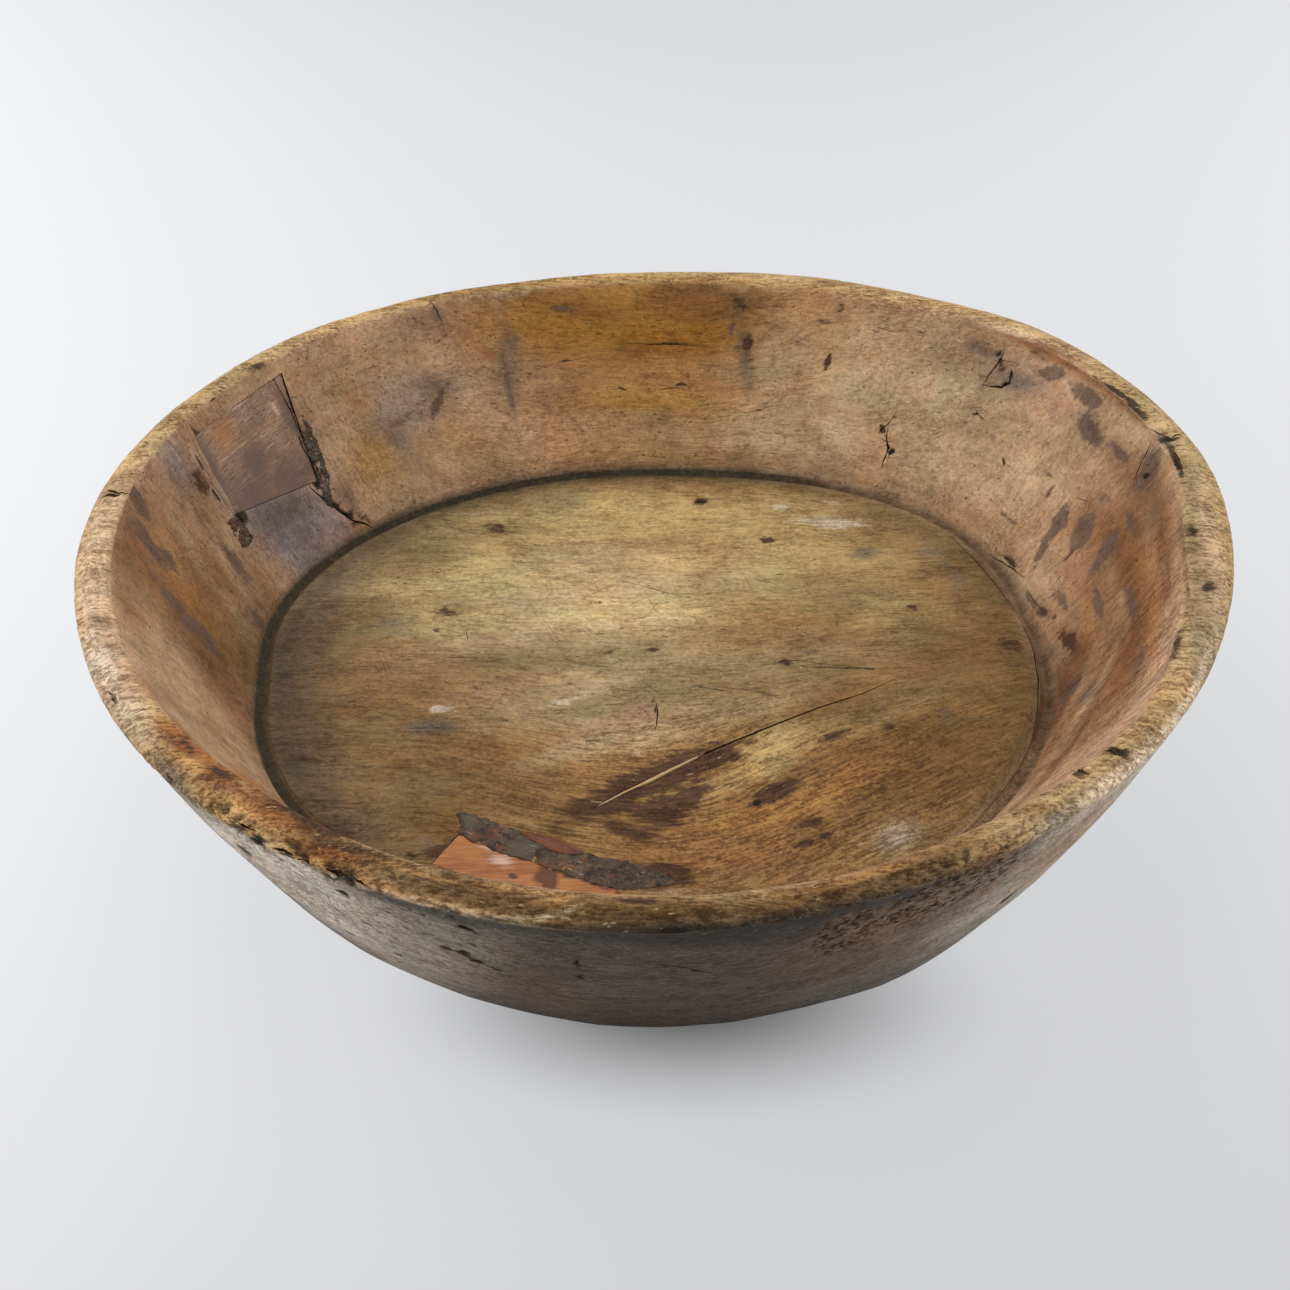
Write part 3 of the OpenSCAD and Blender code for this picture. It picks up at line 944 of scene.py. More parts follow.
@dataclass(frozen=True)
class HewnWood:
    """Finish of the bowl's own wood: grain along X, painted tones, stains, dirt, and painted shade in its
    pits and dents.
    """

    turn: float = 33.0
    sheen: float = 0.13
    warm: Colour = (1.06, 0.98, 0.9)
    cool: Colour = (0.88, 0.96, 0.95)
    haze: Colour = (0.12, 0.092, 0.068)
    rust: Colour = (0.25, 0.085, 0.025)
    plum: Colour = (0.066, 0.028, 0.014)
    wine: Colour = (0.12, 0.072, 0.05)
    chalk: Colour = (0.6, 0.52, 0.4)
    low: Colour = (0.5, 0.42, 0.36)
    high: Colour = (1.7, 1.82, 2.02)
    glaze: Colour = (0.64, 0.53, 0.43)
    rubbed_and_highlight: Colour = (1.25, 1.25, 1.22)
    hair: Colour = (0.075, 0.04, 0.02)
    flake: Colour = (0.06, 0.035, 0.02)
    glint: Colour = (0.6, 0.46, 0.26)
    soot: Colour = (0.022, 0.015, 0.01)
    hollow: Colour = (0.03, 0.02, 0.012)
    crumb: Colour = (0.03, 0.021, 0.012)
    grit: Colour = (0.42, 0.35, 0.22)

    def strands(self, tree: Tree, level: Value, slope: Value, size: tuple[float, float],
                detail: float = 4.0, rough: float = 0.6) -> Value:
        """Noise drawn out along the grain, and down the slope at the bowl's ends.

        Args:
            tree: The material's tree.
            level: Coordinates along and across the grain.
            slope: Coordinates round the bowl and down its wall.
            size: Scales along the strands and across them.
            detail: Layers of the noise.
            rough: Share of its finer layers.

        Returns:
            Noise about 0.5.
        """
        long, short = size
        flat = tree.noise(tree.scaled(level, (long, short, short)), detail=detail, rough=rough)
        steep = tree.noise(tree.scaled(slope, (short, short, long)), detail=detail, rough=rough)
        return flat + (steep - flat) * tree.attribute("ends")

    def build(self) -> bpy.types.Material:
        """Makes the material."""
        tree = Tree("hewn_wood")
        plain = tree.place()
        slope = tree.attribute("slope", "Vector")
        wander = tree.noise(tree.scaled(plain, (7, 12, 12)), detail=3)
        turned = tree.node(
            "ShaderNodeVectorRotate", {"rotation_type": "Z_AXIS"},
            {"Vector": plain, "Center": (0.02, 0.02, 0.0),
             "Angle": tree.attribute("swirl") * -math.radians(self.turn)})
        shift = tree.node("ShaderNodeCombineXYZ", {}, {0: 0.0, 1: wander * 0.03, 2: wander * 0.02})
        grain = tree.node("ShaderNodeVectorMath", {"operation": "ADD"}, {0: turned, 1: shift})
        fibre = self.strands(tree, grain, slope, (75, 560), 5, 0.72)
        streak = self.strands(tree, grain, slope, (17, 82), 6, 0.7)
        mottle = tree.noise(plain, 30, 6, 0.64, 0.6)
        fine = tree.noise(plain, 560, 4, 0.7)
        cloud = tree.noise(tree.scaled(plain, (1, 1.5, 1.5)), 34, 6, 0.62, 1.1)
        edge = self.strands(tree, grain, slope, (75, 230), 6, 0.72)
        blotch = tree.noise(tree.scaled(grain, (70, 110, 110)), 1.0, 6, 0.7, 0.8)

        def stain(kind: Stain, low: float, high: float, spread: float) -> Value:
            """Mask of one kind of stain with a feathered edge."""
            mask = (tree.attribute(kind.value) + (edge - 0.5) * spread * 0.45
                    + (blotch - 0.5) * spread + (fine - 0.5) * 0.3)
            return mask.step(low, high)

        plum = stain(Stain.PLUM, 0.36, 0.6, 1.2)
        chalk = stain(Stain.CHALK, 0.38, 0.72, 1.1)
        tone = tree.attribute("tone", "Color")
        hue = tree.noise(tree.scaled(plain, (0.8, 1.4, 1.4)), 19, 5, 0.62, 0.9)
        tone = tree.mix(tone, self.warm, hue.step(0.5, 0.64) * 0.75, "MULTIPLY")
        tone = tree.mix(tone, self.cool, hue.step(0.5, 0.37) * 0.75, "MULTIPLY")
        tone = tree.mix(tone, self.haze, stain(Stain.HAZE, 0.22, 0.8, 1.1) * 0.7)
        tone = tree.mix(tone, self.rust, stain(Stain.RUST, 0.2, 0.8, 1.2) * 0.6)
        tone = tree.mix(tone, self.plum, plum * 0.95)
        tone = tree.mix(tone, self.wine, stain(Stain.WINE, 0.32, 0.56, 1.2) * 0.85)
        tone = tree.mix(tone, self.chalk, chalk * 0.5)

        crumbs = tree.noise(plain, 330, 5, 0.75)
        lines = ((fibre - 0.5) * 1.3 + (streak - 0.5) * 0.7 + (fine - 0.5) * 0.5
                 + (crumbs - 0.5) * 0.8)
        value = (lines * tree.attribute("busy") + (fine - 0.5) * 0.5 + (mottle - 0.5) * 0.65
                 + (blotch - 0.5) * 0.65 + (cloud - 0.5) * 0.4).step(-0.54, 0.54)
        colour = tree.mix(tree.mix(tone, self.low, 1.0, "MULTIPLY"),
                          tree.mix(tone, self.high, 1.0, "MULTIPLY"), value)
        glaze = (cloud + (fibre - 0.5) * 0.45 + (fine - 0.5) * 0.3).step(0.54, 0.72)
        colour = tree.mix(colour, self.glaze, glaze * 0.7, "MULTIPLY")
        worn = (cloud + (streak - 0.5) * 0.4 + (fine - 0.5) * 0.3).step(0.46, 0.3)
        colour = tree.mix(colour, self.rubbed_and_highlight, worn * 0.7, "MULTIPLY")

        few = tree.noise(plain, 17, 2).step(0.46, 0.6)
        for turn, size, part in ((24, (14, 640, 640), 0.6), (-38, (20, 700, 700), 0.45),
                                 (71, (26, 820, 820), 0.4)):
            hair = tree.noise(tree.place(size, turn), detail=1).step(0.69, 0.73)
            colour = tree.mix(colour, self.hair, hair * few * part)
        flake = tree.noise(tree.scaled(grain, (140, 460, 460)), detail=3, rough=0.6).step(0.66, 0.7)
        colour = tree.mix(colour, self.flake, flake * 0.6)
        glint = tree.noise(tree.scaled(grain, (170, 520, 520)), detail=3, rough=0.6).step(0.65, 0.7)
        colour = tree.mix(colour, self.glint, glint * tree.attribute("busy").step(0.9, 2.4) * 0.6)

        soot = stain(Stain.SOOT, 0.38, 0.6, 1.0)
        colour = tree.mix(colour, self.soot, soot * 0.88)
        # Pits, dents and chewed places are darkened: their dirt, and painted shade in them.
        cavity = tree.attribute("cavity")
        deep = (cavity + (fine - 0.5) * 0.8 + (edge - 0.5) * 0.6).step(0.12, 0.75)
        colour = tree.mix(colour, self.hollow, deep * 0.88)
        bed = (tree.attribute("groove") + (mottle - 0.5) * 0.4 + (fine - 0.5) * 0.4).step(0.3, 0.9)
        colour = tree.mix(colour, self.crumb, bed * crumbs.step(0.6, 0.42) * 0.6)
        grit = crumbs.step(0.63, 0.7) * bed
        colour = tree.mix(colour, self.grit, grit * 0.4)

        rough = 0.5 + mottle * 0.16 + (chalk + soot + deep) * 0.2 - plum * 0.14
        height = (fibre * 0.8 + streak * 0.6 + mottle * 0.5 + fine * 0.35 - flake * 0.4
                  + plum * 0.25 - deep * (0.5 + fine) + grit * 0.5 + bed * crumbs)
        return tree.finish(colour, rough, height, 0.0011, Specular_IOR_Level=self.sheen)


@dataclass(frozen=True)
class PatchWood:
    """Finish of a let-in board: straight grain of its own, rubbed light with painted highlights, and
    stained.
    """

    name: str
    light: Colour
    dark: Colour
    middle: Colour
    turn: float
    gloss: float = 0.35
    scored: float = 0.3
    dirt: Colour = (0.085, 0.034, 0.02)
    scratch: float = 6.0
    feather: float = 0.16
    dirt_edge: float = 0.46
    amber: Colour = (0.46, 0.2, 0.06)
    # Pale colour of rubbed places and of the painted highlight.
    rubbed_and_highlight: Colour = (0.8, 0.62, 0.54)
    scored_pale: Colour = (0.6, 0.38, 0.26)
    scored_dark: Colour = (0.09, 0.037, 0.024)

    def build(self) -> bpy.types.Material:
        """Makes the material."""
        tree = Tree(self.name)
        spot = tree.place((1, 1, 1), self.turn, self.middle)
        fibre = tree.noise(tree.scaled(spot, (30, 700, 700)), detail=5, rough=0.65)
        streak = tree.noise(tree.scaled(spot, (9, 120, 120)), detail=4)
        mottle = tree.noise(spot, 75, 6, 0.65)
        colour = tree.mix(self.dark, self.light, (fibre * 0.6 + streak * 0.7 + mottle * 0.5)
                          .step(0.66, 1.14))
        colour = tree.mix(colour, self.amber, (tree.attribute("amber") + (mottle - 0.5))
                          .step(0.2, 0.8) * 0.55)
        for turn, tone in ((0, self.scored_pale), (-10, self.scored_dark)):
            line = tree.noise(tree.place((30, 1500, 1500), self.turn + self.scratch + turn,
                                         self.middle), detail=3)
            colour = tree.mix(colour, tone, line.step(0.56, 0.66) * self.scored)
        # Lighter where rubbed; on the floor board this mark is a painted highlight.
        colour = tree.mix(colour, self.rubbed_and_highlight, (tree.attribute("rubbed_and_highlight") + (fibre - 0.5)
                                                      + (mottle - 0.5) * 0.6).step(0.4, 1.0) * 0.6)
        dirt = (tree.attribute("dirt") + (mottle - 0.5) * 1.2).step(
            self.dirt_edge - self.feather, self.dirt_edge + self.feather)
        colour = tree.mix(colour, self.dirt, dirt * 0.85)
        height = fibre * 0.5 + streak * 0.4 + mottle * 0.3
        return tree.finish(colour, self.gloss + mottle * 0.3, height, 0.0007,
                           Specular_IOR_Level=0.25)


@dataclass(frozen=True)
class Crust:
    """Finish of the dried pitch: a dark crust with pale scrapes and pits."""

    dark: Colour = (0.022, 0.014, 0.01)
    light: Colour = (0.16, 0.1, 0.062)
    ruddy: Colour = (0.2, 0.07, 0.03)
    dusty: Colour = (0.12, 0.1, 0.068)
    scrape: Colour = (0.4, 0.33, 0.26)

    def build(self) -> bpy.types.Material:
        """Makes the material."""
        tree = Tree("pitch")
        spot = tree.place()
        lumps = tree.noise(spot, 150, 6, 0.7, 0.5)
        fine = tree.noise(spot, 800, 4, 0.6)
        scrape = tree.noise(tree.place((70, 800, 300), 28), detail=3).step(0.58, 0.68)
        colour = tree.mix(self.dark, self.light, (lumps * 0.6 + fine * 0.4)
                          .step(0.38, 0.68))
        colour = tree.mix(colour, self.ruddy, tree.noise(spot, 90, 3).step(0.52, 0.66) * 0.6)
        colour = tree.mix(colour, self.dusty, tree.noise(spot, 34, 4).step(0.5, 0.62) * 0.6)
        colour = tree.mix(colour, self.scrape, scrape * lumps.step(0.48, 0.6) * 0.5)
        return tree.finish(colour, 0.5 + fine * 0.3, lumps * 0.8 + fine * 0.5, 0.001,
                           Specular_IOR_Level=0.3)


@dataclass(frozen=True)
class CrackShade:
    """Near-black finish of the walls of the cracks, painted shade inside them; the beds' cut faces take it
    too.
    """

    dark: Colour = (0.012, 0.008, 0.005)
    light: Colour = (0.06, 0.036, 0.02)

    def build(self) -> bpy.types.Material:
        """Makes the material."""
        tree = Tree("crack_shade")
        fine = tree.noise(tree.place(), 600, 4, 0.6)
        colour = tree.mix(self.dark, self.light, fine.step(0.35, 0.7))
        return tree.finish(colour, 0.9, fine, 0.0004, Specular_IOR_Level=0.1)


# Places read off the photograph, in its pixels


@dataclass(frozen=True)
class Stroke:
    """A brush stroke on the photograph, in its pixels from the top left corner.

    Its middle is at x and y, its half length runs along dx and dy, and half is its half width.
    """

    x: float
    y: float
    dx: float
    dy: float
    half: float
    strength: float = 1.0

    def across(self) -> tuple[float, float]:
        """The step from the middle to the stroke's side."""
        share = self.half / (math.hypot(self.dx, self.dy) or 1)
        return -self.dy * share, self.dx * share


class Sight:
    """The view from the photograph's camera to the bowl's even skin."""

    def __init__(self, form: BowlForm, skin: bpy.types.Object) -> None:
        """Looks at the skin from where the camera stood.

        Args:
            form: The bowl's form.
            skin: Its even skin, in metres.
        """
        pitch = math.radians(Studio.pitch)
        self.form = form
        self.skin = skin
        self.ahead = Vector((0, math.cos(pitch), -math.sin(pitch)))
        self.right = Vector((1, 0, 0))
        self.up = self.right.cross(self.ahead)
        self.focus = Studio.lens / Studio.sensor * PHOTO_PX
        bpy.context.view_layer.update()

    def point(self, x: float, y: float) -> "np.ndarray | None":
        """Finds the skin at a pixel.

        Args:
            x: Pixels from the photograph's left.
            y: Pixels from its top.

        Returns:
            The point in millimetres, or None beside the bowl.
        """
        way = (self.ahead * self.focus + self.right * (x - PHOTO_PX / 2)
               + self.up * (PHOTO_PX / 2 - y))
        hit, spot, _, _ = self.skin.ray_cast(Vector(Studio.eye) * MM, way.normalized())
        return np.array(spot) / MM if hit else None

    def place(self, x: float, y: float) -> "tuple[Zone, float, float, float] | None":
        """Finds a pixel's place on the chart.

        Args:
            x: Pixels from the photograph's left.
            y: Pixels from its top.

        Returns:
            Zone, u, v and bearing, or None beside the bowl.
        """
        spot = self.point(x, y)
        if spot is None:
            return None
        chart = Chart(self.form, spot[None])
        return Zone(int(chart.zone[0])), chart.u[0], chart.v[0], chart.bearing[0]

    def run(self, stroke: Stroke, dx: float, dy: float) -> np.ndarray:
        """Finds how far a step from a stroke's middle goes on the chart.

        Args:
            stroke: The stroke.
            dx: Pixels to the right.
            dy: Pixels down.

        Returns:
            The step in u and v, the mean of both ways within the middle's own zone.
        """
        zone, u, v, _ = self.place(stroke.x, stroke.y)
        steps = []
        for way in (1, -1):
            for share in (way, way / 2, way / 4):
                there = self.place(stroke.x + dx * share, stroke.y + dy * share)
                if there and there[0] in JOINED_ZONES.get(zone, (zone,)):
                    du = there[1] - u if zone is Zone.FLOOR else short_way(there[1] - u)
                    steps.append((du / share, (there[2] - v) / share))
                    break
        return np.mean(steps, 0) if steps else np.ones(2)

    def blots(self, rows: Iterable[tuple]) -> list[Blot]:
        """Finds what strokes cover on the skin; a stroke beside the bowl is left out.

        Args:
            rows: The numbers of each stroke.

        Returns:
            The blots, with bearings in whole degrees.
        """
        found = []
        for stroke in (Stroke(*row) for row in rows):
            there = self.place(stroke.x, stroke.y)
            if there is None:
                continue
            zone, u, v, bearing = there
            along_u, along_v = self.run(stroke, stroke.dx, stroke.dy)
            across_u, across_v = self.run(stroke, *stroke.across())
            long = max(math.hypot(along_u, along_v), 1e-6)
            short = abs(across_v * along_u - across_u * along_v) / long
            turn = math.degrees(math.atan2(along_v, along_u))
            found.append(Blot(zone, u if zone is Zone.FLOOR else round(bearing), v,
                              max(long, 1.0), max(short, 0.8), turn, stroke.strength))
        return found


# Tones in the order in which they are laid, each with its strokes
TONES: tuple[tuple, ...] = (
    (Tone.STRAW, (560, 600, 190, 0, 42)),
    (Tone.FLAX, (640, 520, 230, 0, 28, 0.9), (470, 560, 100, 0, 36, 0.5), (820, 560, 80, 5, 30, 0.55)),
    (Tone.WHEAT, (660, 655, 170, 0, 26, 0.8), (590, 705, 130, 0, 26, 0.7)),
    (Tone.OLIVE, (310, 660, 40, 10, 50, 0.85), (350, 765, 110, 12, 62, 0.9), (470, 800, 70, 5, 30, 0.5)),
    (Tone.UMBER, (1000, 640, 36, 20, 50, 0.5)),
    (Tone.BRONZE, (900, 765, 110, -40, 48, 0.9)),
    (Tone.DRAB, (960, 560, 60, 40, 26, 0.6)),
    (Tone.COPPER, (700, 845, 120, -10, 34, 0.85)),
    (Tone.FLAX, (785, 740, 45, -16, 12, 0.8)),
    (Tone.WHEAT, (620, 745, 70, -12, 12, 0.5)),
    (Tone.COPPER, (840, 690, 50, -18, 14, 0.4)),
    (Tone.CLAY, (640, 712, 16, 4, 16, 0.8)),
    (Tone.DRAB, (490, 500, 60, -8, 12, 0.5)),
    (Tone.CREAM, (530, 632, 26, -6, 12, 0.5), (620, 590, 40, -10, 14, 0.45)),
    (Tone.DRAB, (455, 608, 20, 0, 14, 0.55)),
    (Tone.OLIVE, (355, 610, 34, -8, 12, 0.6)),
    (Tone.DRAB, (505, 528, 30, 0, 10, 0.5), (566, 500, 22, -4, 10, 0.55)),
    (Tone.UMBER, (300, 640, 22, -24, 20, 0.6)),
    (Tone.DRAB, (560, 660, 60, -6, 12, 0.45), (660, 640, 60, -4, 10, 0.4), (640, 690, 60, -14, 16, 0.5)),
    (Tone.CLAY, (500, 690, 36, -14, 10, 0.5)),
    (Tone.CREAM, (590, 690, 34, -8, 7, 0.3)),
    (Tone.TAN, (740, 640, 60, 0, 16, 0.6), (800, 620, 70, 10, 20, 0.6)),
    (Tone.WHEAT, (700, 580, 50, 4, 10, 0.5)),
    (Tone.CLAY, (420, 660, 60, -10, 16, 0.45)),
    (Tone.DRAB, (400, 730, 50, 4, 16, 0.6)),
    (Tone.UMBER, (310, 740, 26, 20, 24, 0.6)),
    (Tone.DRAB, (420, 775, 50, -6, 18, 0.6)),
    (Tone.TAN, (540, 770, 50, -16, 16, 0.5)),
    (Tone.CLAY, (600, 730, 30, -6, 10, 0.4)),
    (Tone.TAN, (820, 730, 50, -20, 10, 0.6)),
    (Tone.WHEAT, (760, 700, 50, -8, 12, 0.5)),
    (Tone.DRAB, (900, 700, 40, -20, 14, 0.5)),
    (Tone.GINGER, (840, 780, 60, -26, 14, 0.4), (760, 820, 60, -20, 10, 0.45)),
    (Tone.UMBER, (930, 650, 50, 0, 16, 0.5), (680, 840, 60, -6, 14, 0.5), (760, 870, 50, -6, 8, 0.55),
     (870, 810, 40, -24, 10, 0.45), (960, 780, 26, -26, 12, 0.5), (480, 745, 40, -6, 12, 0.35)),
    (Tone.WHEAT, (345, 575, 20, -8, 8, 0.6)),
    (Tone.TAN, (700, 485, 90, 2, 8, 0.5)),
    (Tone.DRAB, (850, 590, 60, 4, 14, 0.4)),
    (Tone.TAN, (880, 530, 40, 10, 12, 0.6)),
    (Tone.SMOKE, (434, 727, 24, 0, 7, 0.5)),
    (Tone.CHESTNUT, (355, 706, 22, -2, 8, 0.5)),
    (Tone.OLIVE, (416, 770, 44, -8, 18, 0.6)),
    (Tone.BRONZE, (450, 826, 26, 10, 20, 0.7)),
    (Tone.OLIVE, (300, 700, 14, 40, 16, 0.7), (420, 560, 40, -14, 14, 0.5)),
    (Tone.DRAB, (350, 640, 40, -10, 12, 0.7), (500, 660, 40, -4, 8, 0.6)),
    (Tone.WHEAT, (590, 745, 50, -16, 8, 0.6)),
    (Tone.CREAM, (600, 560, 60, -4, 12, 0.5), (540, 600, 50, -6, 9, 0.6), (610, 625, 60, -8, 6, 0.4)),
    (Tone.LEAD, (897, 836, 16, -12, 14, 0.6)),
    (Tone.FLAX, (900, 618, 44, 4, 24, 0.4)),
    (Tone.CREAM, (640, 560, 90, 0, 20, 0.3)),
    (Tone.FLAX, (760, 770, 44, -20, 9, 0.5)),
    (Tone.HONEY, (730, 820, 40, -14, 7, 0.5)),
    (Tone.FLAX, (880, 720, 30, -14, 8, 0.35)),
    (Tone.HONEY, (820, 800, 50, -24, 6, 0.4)),
    (Tone.UMBER, (930, 760, 20, -30, 14, 0.7)),
    (Tone.AMBER, (640, 335, 125, 0, 42), (640, 296, 170, 0, 18, 0.8)),
    (Tone.HONEY, (650, 405, 105, 0, 26, 0.95)),
    (Tone.TOAST, (620, 448, 110, 0, 16, 0.8)),
    (Tone.ROSE, (420, 350, 60, -12, 44, 0.8)),
    (Tone.DUSK, (400, 450, 55, -14, 26, 0.9)),
    (Tone.ROSE, (335, 400, 30, 14, 44, 0.6)),
    (Tone.TOAST, (372, 468, 20, 4, 20, 0.7)),
    (Tone.BUFF, (900, 385, 105, 25, 56)),
    (Tone.SAND, (1010, 440, 75, 50, 44, 0.9)),
    (Tone.TOAST, (800, 340, 40, 5, 50, 0.5)),
    (Tone.CHESTNUT, (1135, 560, 18, 80, 36), (1100, 655, 45, -60, 34, 0.9), (1050, 740, 60, -60, 24, 0.8)),
    (Tone.SAND, (1062, 640, 18, -60, 12, 0.5)),
    (Tone.CHESTNUT, (1160, 520, 8, 50, 14, 0.7)),
    (Tone.SAND, (1085, 800, 60, -60, 8, 0.3)),
    (Tone.MAUVE, (412, 398, 44, -30, 26, 0.55), (440, 330, 20, 10, 14, 0.5), (506, 345, 6, 44, 6, 0.8)),
    (Tone.CHESTNUT, (1070, 366, 60, 30, 5, 0.95), (1130, 410, 30, 24, 5, 0.9),
     (1040, 344, 40, 14, 4, 0.8)),
    (Tone.MAUVE, (1020, 378, 22, 12, 14, 0.6)),
    (Tone.SLATE, (285, 505, 50, 20, 34, 0.9), (225, 420, 16, 20, 12, 0.45), (330, 520, 20, 14, 12, 0.6)),
    (Tone.MAUVE, (180, 470, 16, 20, 8, 0.7)),
    (Tone.AMBER, (560, 330, 70, 0, 26, 0.6), (700, 330, 60, 0, 20, 0.7), (530, 320, 40, 0, 20, 0.5)),
    (Tone.CHESTNUT, (1080, 610, 20, 60, 20, 0.5), (1120, 590, 16, 70, 22, 0.9)),
    (Tone.RED, (1150, 500, 14, 40, 14, 0.5), (1060, 690, 40, -60, 14, 0.45)),
    (Tone.SAND, (1098, 650, 16, -50, 10, 0.3)),
    (Tone.RED, (1130, 640, 12, -50, 8, 0.6)),
    (Tone.SAND, (1030, 600, 30, 40, 5, 0.6), (1150, 560, 4, 40, 4, 0.5)),
    (Tone.ROSE, (1012, 540, 40, 34, 6, 0.7)),
    (Tone.SAND, (1080, 720, 30, -44, 5, 0.4)),
    (Tone.CLAY, (1048, 765, 40, -44, 5, 0.5)),
    (Tone.CHESTNUT, (160, 560, 26, 66, 40)),
    (Tone.UMBER, (220, 645, 34, 60, 30)),
    (Tone.CLAY, (150, 470, 24, -30, 20, 0.7), (245, 440, 50, 20, 32, 0.9)),
    (Tone.SLATE, (288, 530, 34, 30, 28, 0.9)),
    (Tone.UMBER, (255, 600, 40, 44, 26, 0.8)),
    (Tone.CLAY, (215, 545, 46, 56, 4, 0.8)),
    (Tone.ROSE, (190, 520, 30, 36, 3, 0.5)),
    (Tone.CHESTNUT, (230, 700, 30, 60, 10, 0.7)),
    (Tone.SAND, (640, 430, 70, 0, 14, 0.5)),
    (Tone.HONEY, (640, 310, 80, 0, 16, 0.35)),
    (Tone.CLAY, (168, 560, 14, 30, 14, 0.5)),
    (Tone.HONEY, (372, 455, 26, 8, 16, 0.6), (355, 400, 16, 20, 10, 0.4), (470, 330, 26, 4, 26, 0.5)),
    (Tone.DUSK, (500, 380, 12, 4, 30, 0.6)),
    (Tone.UMBER, (700, 300, 40, 0, 14, 0.5), (560, 300, 30, 0, 12, 0.4), (600, 350, 60, 0, 8, 0.4),
     (740, 300, 24, 4, 18, 0.6)),
    (Tone.SAND, (780, 360, 26, 4, 34, 0.8)),
    (Tone.BUFF, (770, 430, 40, 6, 16, 0.7), (840, 420, 30, 8, 30, 0.6)),
    (Tone.ROSE, (920, 470, 40, 24, 14, 0.7)),
    (Tone.BUFF, (640, 425, 60, 2, 10, 0.6)),
    (Tone.ROSE, (530, 440, 30, -4, 14, 0.6)),
    (Tone.TOAST, (460, 440, 26, -8, 20, 0.6)),
    (Tone.CLAY, (430, 330, 30, -10, 16, 0.5), (960, 360, 40, 14, 20, 0.5), (1060, 400, 30, 20, 20, 0.6)),
    (Tone.BUFF, (1040, 470, 30, 26, 16, 0.5), (990, 500, 30, 26, 12, 0.5)),
    (Tone.ROSE, (1100, 480, 20, 30, 14, 0.5)),
    (Tone.GINGER, (1150, 600, 6, 50, 10, 0.6)),
    (Tone.DUSK, (1115, 600, 8, 34, 8, 0.8)),
    (Tone.GINGER, (1090, 620, 10, 40, 8, 0.4)),
    (Tone.CHESTNUT, (1045, 640, 8, 30, 10, 0.5), (1120, 680, 20, -40, 8, 0.5)),
    (Tone.DUSK, (1150, 500, 8, 30, 8, 0.5)),
    (Tone.UMBER, (200, 500, 20, 30, 16, 0.5), (130, 600, 10, 40, 12, 0.5)),
    (Tone.AMBER, (190, 600, 20, 40, 10, 0.4)),
    (Tone.CLAY, (260, 640, 20, 40, 8, 0.5)),
    (Tone.SAND, (205, 570, 40, 60, 4, 0.7), (225, 560, 30, 45, 3, 0.6)),
    (Tone.UMBER, (290, 700, 16, 50, 8, 0.5)),
    (Tone.SLATE, (180, 460, 14, 16, 12, 0.5)),
    (Tone.GINGER, (215, 400, 20, -14, 12, 0.5)),
    (Tone.UMBER, (1135, 590, 10, 60, 12, 0.35), (240, 650, 22, 60, 16, 0.25)),
    (Tone.CHESTNUT, (225, 600, 20, 60, 6, 0.5)),
    (Tone.RED, (1150, 590, 10, -40, 2, 0.5)),
    (Tone.BARK, (1165, 560, 4, 40, 2, 0.5)),
    (Tone.RED, (1130, 640, 22, -40, 2, 0.5)),
    (Tone.BARK, (1100, 690, 26, -44, 2.5, 0.4)),
    (Tone.RED, (1075, 740, 34, -50, 2, 0.5)),
    (Tone.CREAM, (1120, 600, 8, 30, 2, 0.4), (1085, 700, 30, -46, 2, 0.5), (1060, 720, 26, -44, 2, 0.4)),
    (Tone.CHESTNUT, (1050, 770, 40, -50, 2.5, 0.7)),
    (Tone.CREAM, (1160, 640, 14, -44, 2, 0.5)),
    (Tone.RED, (1185, 560, 3, 60, 2, 0.7), (1172, 655, 14, -30, 2, 0.6)),
    # The rim's left and right ends are pale: worn end grain, with a painted highlight where they catch the
    # light.
    (Tone.CREAM, (86, 600, 4, 80, 24), (108, 680, 20, 40, 20, 0.9), (130, 490, 30, -40, 16, 0.8)),
    (Tone.ROSE, (240, 395, 60, -34, 9, 0.7)),
    (Tone.SHELL, (112, 680, 20, 40, 14)),
    (Tone.CREAM, (150, 725, 20, 18, 9, 0.8)),
    (Tone.CLAY, (112, 640, 10, 30, 8, 0.5)),
    (Tone.CREAM, (1216, 600, 4, 90, 9, 0.8), (1150, 760, 70, -70, 10, 0.95)),
    (Tone.PALE, (1140, 772, 60, -60, 6, 0.9)),
    (Tone.CREAM, (1000, 330, 90, 25, 5, 0.6)),
    (Tone.HONEY, (640, 277, 200, 0, 5, 0.6)),
    (Tone.DRAB, (1196, 560, 6, 60, 8, 0.85), (1200, 640, 6, 40, 8, 0.85), (1190, 480, 10, 24, 7, 0.7)),
    # A painted highlight along the near rim's inner crest.
    (Tone.CREAM, (640, 893, 60, 0, 1, 0.8), (760, 888, 70, -5, 1, 0.8), (870, 868, 50, -16, 1, 0.7)),
    # Painted highlight along the right rim's outer edge, over its worn end grain.
    (Tone.SAND, (1208, 600, 4, 50, 12, 0.8)),
    (Tone.PALE, (1185, 706, 30, -60, 4, 0.9), (1130, 768, 50, -48, 8, 0.9)),
    (Tone.GINGER, (230, 780, 80, 60, 20, 0.7)),
    (Tone.UMBER, (300, 825, 60, 34, 12, 0.5)),
    (Tone.FLAME, (170, 728, 12, 8, 7, 0.8)),
    (Tone.IRON, (172, 775, 16, 16, 7, 0.8)),
